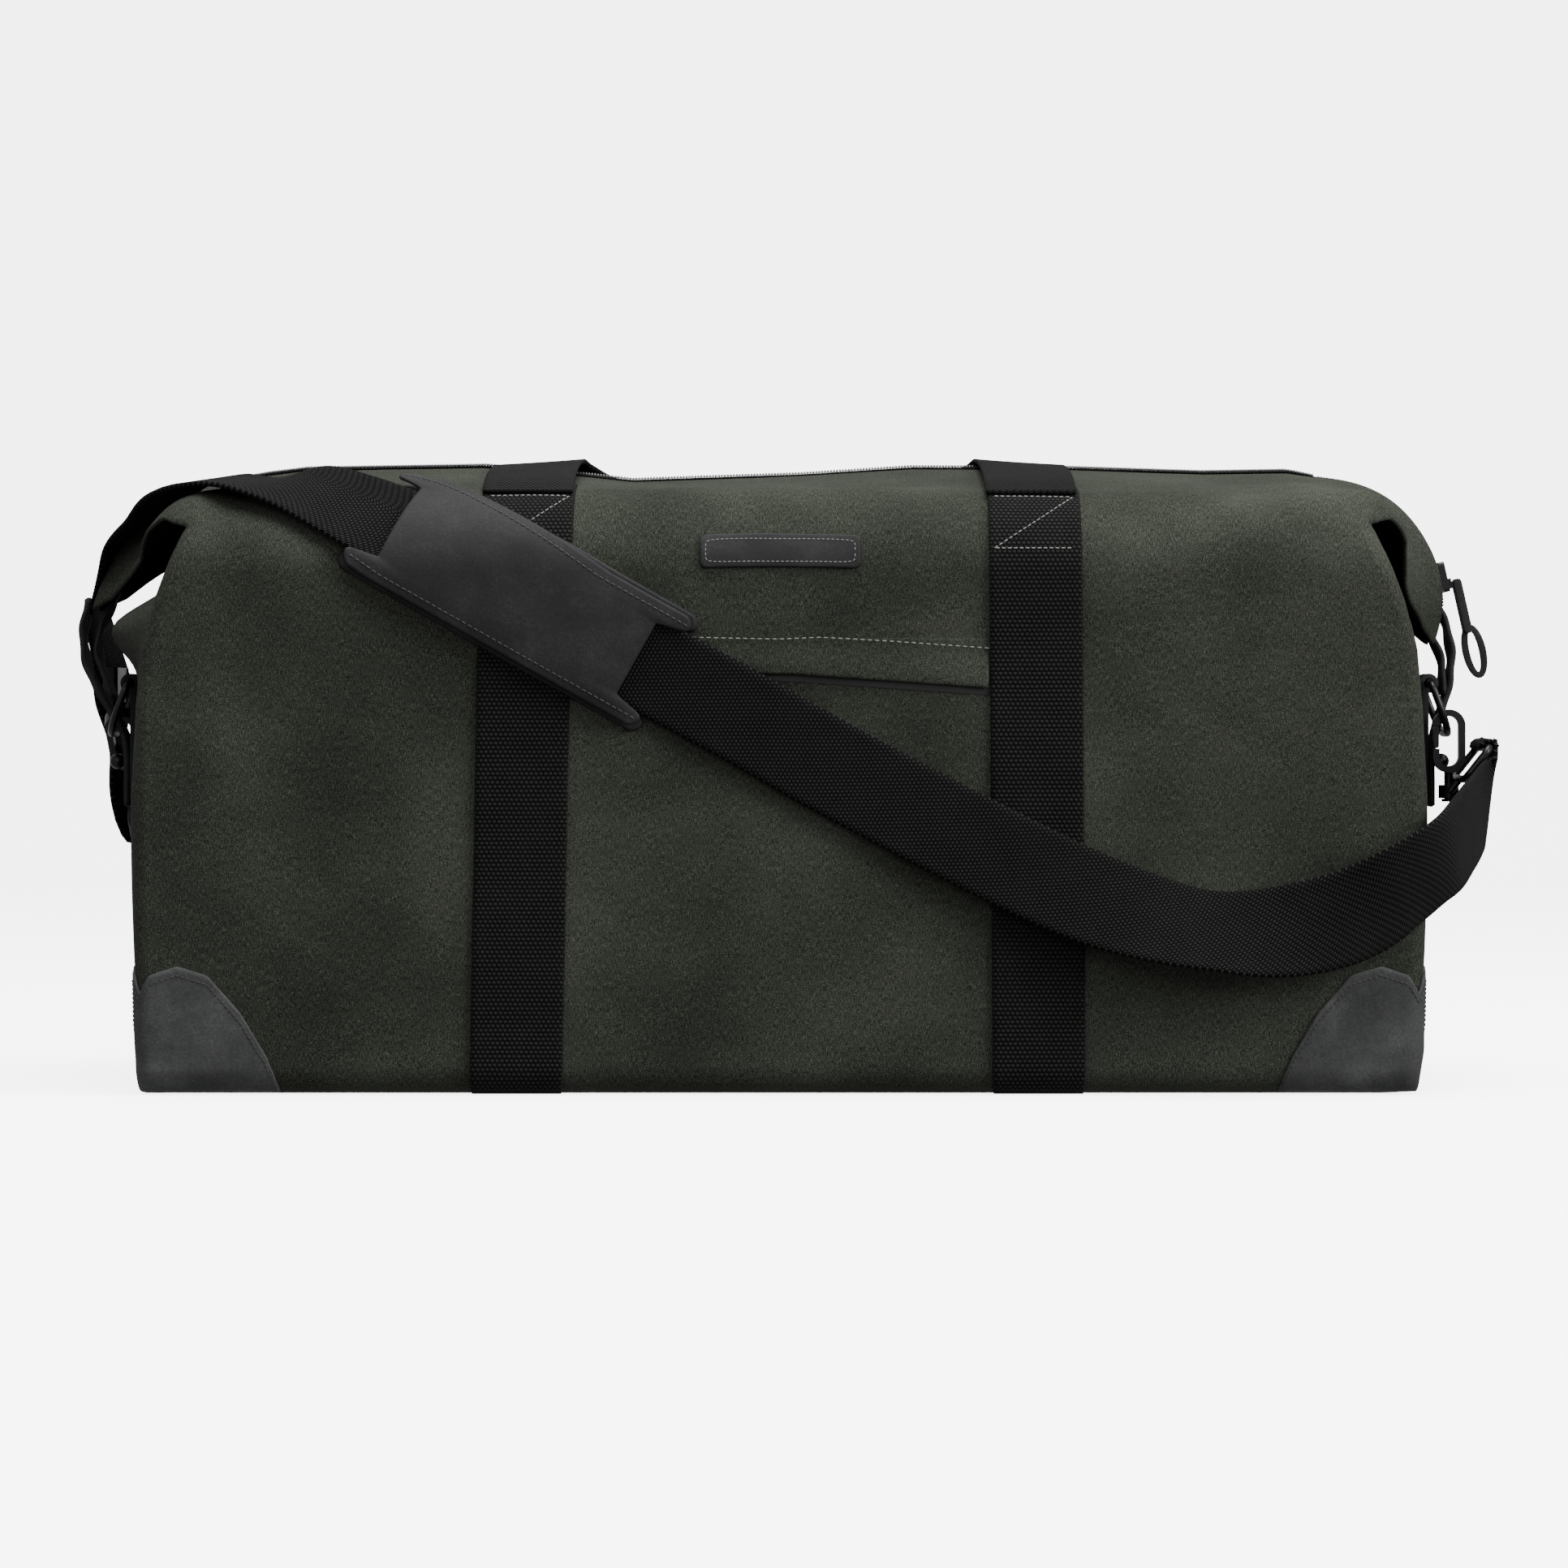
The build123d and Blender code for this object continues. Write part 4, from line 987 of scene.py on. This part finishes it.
def ridge_path(spacing, reach_deg):
    """Middle line of the zip with its outward direction."""
    flat = np.arange(-FOLD_X, FOLD_X + 1e-6, spacing)
    top = [(x, CROWN + np.interp(x, RIDGE_X, RIDGE_Z), 0.0, 1.0) for x in flat]
    left, right = [], []
    for a in np.arange(spacing, FOLD_R * math.radians(reach_deg), spacing) / FOLD_R:
        out, up = math.sin(a), math.cos(a)
        pulled = 1 + PULLED_OUT * (a / FOLD_TURN) ** 2
        right.append((FOLD_X + FOLD_R * out, FOLD_Z + FOLD_R * up, out, up))
        left.append((-FOLD_X - FOLD_R * out * pulled, FOLD_Z + FOLD_R * up, -out, up))
    return np.array(left[::-1] + top + right)


def zip_tapes():
    """A cloth tape on each side of the coil."""
    path = ridge_path(2.2, 90)
    for y0, y1, word in ((-12.5, -2.6, "front"), (2.6, 12.5, "back")):
        y = np.linspace(y0, y1, 7)
        rows = []
        for x, z, nx, nz in path:
            sunk = 1.3 * smooth((abs(x) - 232) / 24)
            lift = 1.9 - sunk - 0.5 * (np.abs(y) - 2.6) / 9.9
            rows.append(np.stack([x + nx * lift, y, z + nz * lift], 1))
        tape = slab(f"zip_tape_{word}_cloth", np.array(rows), 0.8, TAPE)
        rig.slot(tape, "zip_tape")
        rooted(tape, f"zip_tape_{word}")


zip_tapes()


def zip_coil():
    """The coil: one small rounded bar per turn, all in one mesh."""
    path = ridge_path(1.35, 90)
    points, quads, uvs = [], [], []
    ring_angles = [math.radians(45 * k) for k in range(8)]
    for number, (x, z, nx, nz) in enumerate(path):
        base_index = len(points)
        tx, tz = nz, -nx
        for end in (-3.1, -2.6, 2.6, 3.1):
            fat = 0.35 if abs(end) > 3 else 0.62
            rise = (2.7 if abs(end) < 3 else 2.2) - 1.4 * float(smooth((abs(x) - 232) / 24))
            for a in ring_angles:
                r, q = fat * math.cos(a), fat * 1.25 * math.sin(a)
                points.append((x + nx * (rise + q) + tx * r, end, z + nz * (rise + q) + tz * r))
                uvs.append((0, 0))
        for level in range(3):
            for k in range(8):
                k2 = (k + 1) % 8
                a0 = base_index + level * 8
                quads.append((a0 + k, a0 + k2, a0 + 8 + k2, a0 + 8 + k))
    chain = build("zip_coil", points, quads, uvs, COIL)
    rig.slot(chain, "zip_teeth")
    rooted(chain, "zip_chain")


zip_coil()


# ---- Shoulder strap ----
END_X = 292.8
LEFT_BAR = np.array([-300.4, 55.7, 123.3])
RIGHT_BAR = np.array([320.8, -14.5, 151.3])
PAD_MID = np.array([-114.0, 222.0])
PAD_TILT = math.radians(-29.4)
PAD_ALONG = np.array([math.cos(PAD_TILT), math.sin(PAD_TILT)])
PAD_ACROSS = np.array([-PAD_ALONG[1], PAD_ALONG[0]])


def laid(x, s, tilt, lift):
    """A station on the canvas: its middle, and the way across webbing that runs at a tilt."""
    t = math.radians(tilt)
    at = skin(x, s, lift)
    ahead = skin(x - math.sin(t), s + math.cos(t), lift)
    return (at, ahead - at)


left_stations = [
    (LEFT_BAR + (0.5, 3.0, -3.0), (0, 0.71, 0.71)),
    (LEFT_BAR + (-3.4, 0.6, -0.6), (0, 0.71, 0.71)),
    (LEFT_BAR + (-6.2, -5.0, 5.5), (0, 0.78, 0.62)),
    ((-END_X - 16.7, 53.7, 151.3), (0, 0.94, 0.33)),
    ((-311.0, 52.5, 176.0), (0.3, 0.95, 0.05)),
    ((-315.0, 47.0, 198.0), (0.15, 0.95, 0.25)),
    ((-317.0, 34.0, 216.0), (0.02, 0.9, 0.43)),
    ((-308.5, 12.0, 232.0), (0.05, 0.95, 0.3)),
    ((-296.0, -8.0, 247.5), (0.1, 0.99, 0.02)),
    ((-281.0, -32.0, 259.0), (0.18, 0.98, 0.02)),
    ((-268.0, -58.0, 267.0), (0.3, 0.95, 0.05)),
    ((-251.0, -78.0, 270.5), (0.45, 0.88, 0.12)),
    laid(-231.0, 286.0, -24.0, 4.6),
    laid(-209.0, 273.5, -32.0, 4.4),
    laid(-188.0, 260.5, -33.0, 4.2),
    laid(-168.0, 249.5, -30.0, 4.0),
    laid(-140.0, 236.0, -29.0, 4.4),
    laid(-114.0, 221.0, -29.0, 4.6),
]
right_stations = [
    laid(-114.0, 221.0, -29.0, 4.6),
    laid(-84.0, 204.5, -28.6, 4.8),
    laid(-48.0, 185.0, -28.6, 4.8),
    laid(-12.0, 165.4, -28.6, 5.0),
    laid(20.0, 147.0, -28.6, 5.2),
    laid(62.0, 124.6, -28.2, 6.6),
    ((103.0, -137.0, 101.5), (0.46, 0.06, 0.88)),
    ((138.0, -138.4, 85.6), (0.33, 0.22, 0.92)),
    ((167.0, -140.4, 76.4), (0.14, 0.46, 0.87)),
    ((190.0, -142.6, 72.2), (0.0, 0.55, 0.84)),
    ((212.0, -144.2, 71.6), (-0.09, 0.36, 0.93)),
    ((233.0, -144.6, 74.6), (-0.16, 0.1, 0.98)),
    ((252.0, -143.0, 80.6), (-0.22, -0.1, 0.97)),
    ((272.0, -139.0, 92.0), (-0.26, -0.36, 0.9)),
    ((292.0, -124.0, 105.0), (-0.24, -0.5, 0.82)),
    ((306.0, -84.0, 116.0), (-0.12, -0.3, 0.95)),
    ((317.0, -42.0, 124.6), (0, -0.1, 1)),
    ((323.0, -22.0, 132.3), (0, -0.71, 0.71)),
    (RIGHT_BAR + (3.3, 0, -1.0), (0, -1, 0)),
    (RIGHT_BAR + (2.4, 0, 2.4), (0, -1, 0)),
    (RIGHT_BAR + (0, 0, 3.3), (0, -1, 0)),
    (RIGHT_BAR + (-2.4, 0, 2.4), (0, -1, 0)),
    (RIGHT_BAR + (-3.2, 0, 0), (0, -1, 0)),
]


def shoulder_strap():
    """The strap in two sheets that meet under the pad."""
    grid, left_run = ribbon(left_stations, 39.5, 2.0)
    strap_left = slab("shoulder_strap_left", grid, 2.1, STRAP)
    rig.slot(strap_left, "webbing")
    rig.replaces(strap_left, "shoulder_strap")
    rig.blend(strap_left, "root", "d_ring_left", start=(-0.3095, 0.05, 0.19), end=(-0.304, 0.055, 0.135))
    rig.sheet(strap_left, flat=(0.04, round(left_run * MM, 3)), held="draped", rests_on=[panel_front])
    grid, right_run = ribbon(right_stations, 39.5, 2.0)
    strap_right = slab("shoulder_strap_right", grid, 2.1, STRAP)
    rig.slot(strap_right, "webbing")
    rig.blend(strap_right, "root", "d_ring_right", start=(0.294, -0.12, 0.106), end=(0.321, -0.03, 0.13))
    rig.sheet(strap_right, flat=(0.04, round(right_run * MM, 3)), held="draped", rests_on=[panel_front])


shoulder_strap()


# ---- Shoulder pad ----
def pad_grid(half, wide, ear, depth, puff):
    """A leaf of the pad: long sides straight, its ends notched between four ears."""
    low, middle, high = np.linspace(-1, -0.62, 14), np.linspace(-0.6, 0.6, 22), np.linspace(0.62, 1, 14)
    b = np.concatenate([low, middle, high])
    a = np.linspace(-1, 1, 110)
    bb, aa = np.meshgrid(b, a)
    notch = smooth((np.abs(bb) - 0.66) / 0.16)
    rounding = 3.0 * np.clip((np.abs(bb) - 0.86) / 0.14, 0, 1) ** 2
    reach = half - ear * (1 - notch) - rounding
    along = aa * reach
    across = bb * wide
    rise = puff * (1 - aa**6) * (1 - np.abs(bb) ** 4)
    return pad_place(along, across, depth + rise)


def pad_place(along, across, depth):
    """A point of the pad: its place along and across laid on the canvas, raised by depth."""
    wave = 0.5 * np.sin(along / 21 + 0.6) + 0.3 * np.sin(along / 9) * np.abs(across / 27)
    x = PAD_MID[0] + PAD_ALONG[0] * along + PAD_ACROSS[0] * across
    s = PAD_MID[1] + PAD_ALONG[1] * along + PAD_ACROSS[1] * across
    return skin(x, s, depth + wave)


def shoulder_pad():
    """The pad's two leaves and the seams along its long sides."""
    top = slab("pad_top_leather", pad_grid(73.0, 26.5, 14.0, 7.8, 1.6), 1.8, LEATHER)
    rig.slot(top, "leather")
    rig.ride(top, "shoulder_pad")
    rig.replaces(top, "shoulder_pad_top")
    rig.padded(top, 0.5)
    under = slab("pad_backing_leather", pad_grid(75.0, 28.3, 10.0, 2.4, 0.0), 2.2, LEATHER)
    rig.slot(under, "leather")
    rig.ride(under, "shoulder_pad")
    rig.replaces(under, "shoulder_pad_backing")
    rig.padded(under, 0.5)
    for sign, word in ((-1, "low"), (1, "high")):
        along = np.linspace(-71, 71, 200)
        puff = 1.6 * (1 - (along / 73) ** 6) * (1 - 0.87**4)
        line = pad_place(along, sign * 23.2, 8.8 + puff)
        out = pad_place(along, sign * 23.2, 9.8 + puff) - line
        stitches(f"pad_stitch_{word}", line, out, "shoulder_pad", DARK_THREAD, 3.0, 2.1, 0.32)


shoulder_pad()


# ---- Wing straps: a folded leather strap from each fold down to its stud ----
WING_LOW = [(300.0, 158), (298.1, 148), (298.1, 136), (298.1, 125)]
WING_OUTER = {
    1: [(300.5, 216), (305.5, 206), (307.3, 194), (306.6, 182), (303.4, 170)],
    -1: [(316.0, 219), (318.2, 206), (318.0, 194), (313.5, 181), (306.5, 169)],
}
WING_INNER = {
    1: [(291.5, 214), (297.0, 205), (301.6, 195), (303.4, 186), (303.2, 176)],
    -1: [(303.0, 222), (308.5, 210), (312.0, 198), (309.5, 186), (304.5, 174)],
}


def wing_straps():
    """An outer and an inner leaf at each end."""
    for side, word in ((-1, "left"), (1, "right")):
        for leaf, places, thick in (
            ("outer", WING_OUTER[side] + WING_LOW, 2.6),
            ("inner", WING_INNER[side], 2.2),
        ):
            grid, _ = ribbon([((side * x, 0, z), (0, 1, 0)) for x, z in places], 18.0)
            rows, cols = np.indices(grid.shape[:2])
            crumple = 0.5 * np.sin(rows * 0.75 + cols * 0.28) * smooth((30 - rows) / 20)
            grid[..., 0] += crumple
            piece = slab(f"wing_{word}_{leaf}", grid, thick, LEATHER)
            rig.slot(piece, "leather")
            rooted(piece, f"wing_strap_{word}")


wing_straps()


# ---- CAD pieces shown as they are, some softened ----
def soften(node, paint, width, body, slot_name):
    """A bevelled copy of a CAD piece that stands in its place."""
    source = frame["nodes"][node]
    copy = bpy.data.objects.new(f"{node}_soft", source.data.copy())
    bpy.context.scene.collection.objects.link(copy)
    copy.data.materials.clear()
    copy.data.materials.append(paint)
    weld = copy.modifiers.new("weld", "WELD")
    weld.merge_threshold = 0.00002
    bevel = copy.modifiers.new("bevel", "BEVEL")
    bevel.width = width * MM
    bevel.segments = 3
    bevel.limit_method = "ANGLE"
    bevel.angle_limit = math.radians(35)
    copy.data.shade_smooth()
    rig.slot(copy, slot_name)
    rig.ride(copy, body)
    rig.replaces(copy, node)
    return copy


def cad_pieces():
    """Tabs, pull and lining softened; metal pieces and the board given their materials."""
    for word in ("left", "right"):
        soften(f"end_tab_{word}", LEATHER, 0.7, "root", "leather")
    soften("zip_pull", LEATHER, 0.7, "zip_pull", "leather")

    metal_nodes = ["zip_slider", "strap_adjuster"]
    for word in ("left", "right"):
        metal_nodes += [f"{part}_{word}" for part in ("d_ring", "hook", "gate", "swivel_eye", "stud")]
    for node in metal_nodes:
        piece = frame["nodes"][node]
        piece.data.materials.clear()
        piece.data.materials.append(METAL)
        piece.data.shade_smooth()
        smooth_edges = piece.modifiers.new("split", "EDGE_SPLIT")
        smooth_edges.split_angle = math.radians(38)
    inner = soften("lining", DARK, 0.2, "root", "lining_cloth")
    for vertex in inner.data.vertices:
        vertex.co.x *= 0.955
        vertex.co.y *= 0.95
    board = frame["nodes"]["base_board"]
    board.data.materials.clear()
    board.data.materials.append(BOARD)


cad_pieces()


# ---- Stage, lights and camera ----
def backdrop():
    """A pale paper sweep: flat under the bag, curving up far behind it."""
    run = [(-7.0, 0.0), (3.0, 0.0)]
    for t in np.linspace(0.05, math.pi / 2, 24):
        run.append((3.0 + 2.5 * math.sin(t), 2.5 - 2.5 * math.cos(t)))
    run.append((5.5, 9.0))
    points = [(x, y, z) for y, z in run for x in (-9.0, 9.0)]
    quads = [(2 * k, 2 * k + 1, 2 * k + 3, 2 * k + 2) for k in range(len(run) - 1)]
    mesh = bpy.data.meshes.new("backdrop")
    mesh.from_pydata(points, [], quads)
    mesh.shade_smooth()
    paper = plain_paint("paper", (0.90, 0.90, 0.90), 0.95)
    glow = paper.node_tree.nodes["Principled BSDF"]
    glow.inputs["Emission Color"].default_value = (1.0, 1.0, 1.0, 1.0)
    glow.inputs["Emission Strength"].default_value = PAPER_GLOW
    mesh.materials.append(paper)
    obj = bpy.data.objects.new("backdrop", mesh)
    bpy.context.scene.collection.objects.link(obj)
    obj.visible_diffuse = False
    obj.visible_glossy = False
    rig.stage(obj)


PAPER_GLOW = 4.4
backdrop()


def area_light(name, place, target, size, power):
    data = bpy.data.lights.new(name, "AREA")
    data.energy = power
    data.shape = "RECTANGLE"
    data.size, data.size_y = size
    obj = bpy.data.objects.new(name, data)
    bpy.context.scene.collection.objects.link(obj)
    obj.location = place
    obj.rotation_euler = (Vector(target) - Vector(place)).to_track_quat("-Z", "Y").to_euler()


area_light("top", (0.1, -0.3, 2.4), (0, 0, 0.1), (2.2, 1.8), 170)
area_light("left", (-2.4, -1.7, 1.3), (0, 0, 0.15), (1.4, 1.6), 6)
area_light("right", (2.5, -1.4, 1.2), (0, 0, 0.15), (1.4, 1.6), 120)
area_light("front", (0.0, -3.4, 1.4), (0, 0, 0.15), (1.8, 1.2), 34)


def pale_world():
    """Soft light from all round."""
    world = bpy.data.worlds.new("studio")
    world.use_nodes = True
    world.node_tree.nodes["Background"].inputs[0].default_value = (0.94, 0.94, 0.95, 1)
    world.node_tree.nodes["Background"].inputs[1].default_value = 0.62
    bpy.context.scene.world = world


pale_world()


def view_camera():
    """A long lens straight in front, a little above the middle of the bag."""
    camera = bpy.data.cameras.new("camera")
    camera.lens = 135.3
    camera.sensor_width = 36
    eye = bpy.data.objects.new("camera", camera)
    bpy.context.scene.collection.objects.link(eye)
    eye.location = (0.0021, -2.70, 0.165)
    aim = Vector((0.0021, -0.128, 0.136)) - eye.location
    eye.rotation_euler = aim.to_track_quat("-Z", "Y").to_euler()
    bpy.context.scene.camera = eye


view_camera()


note_size("visual", plain(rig.bounds()))
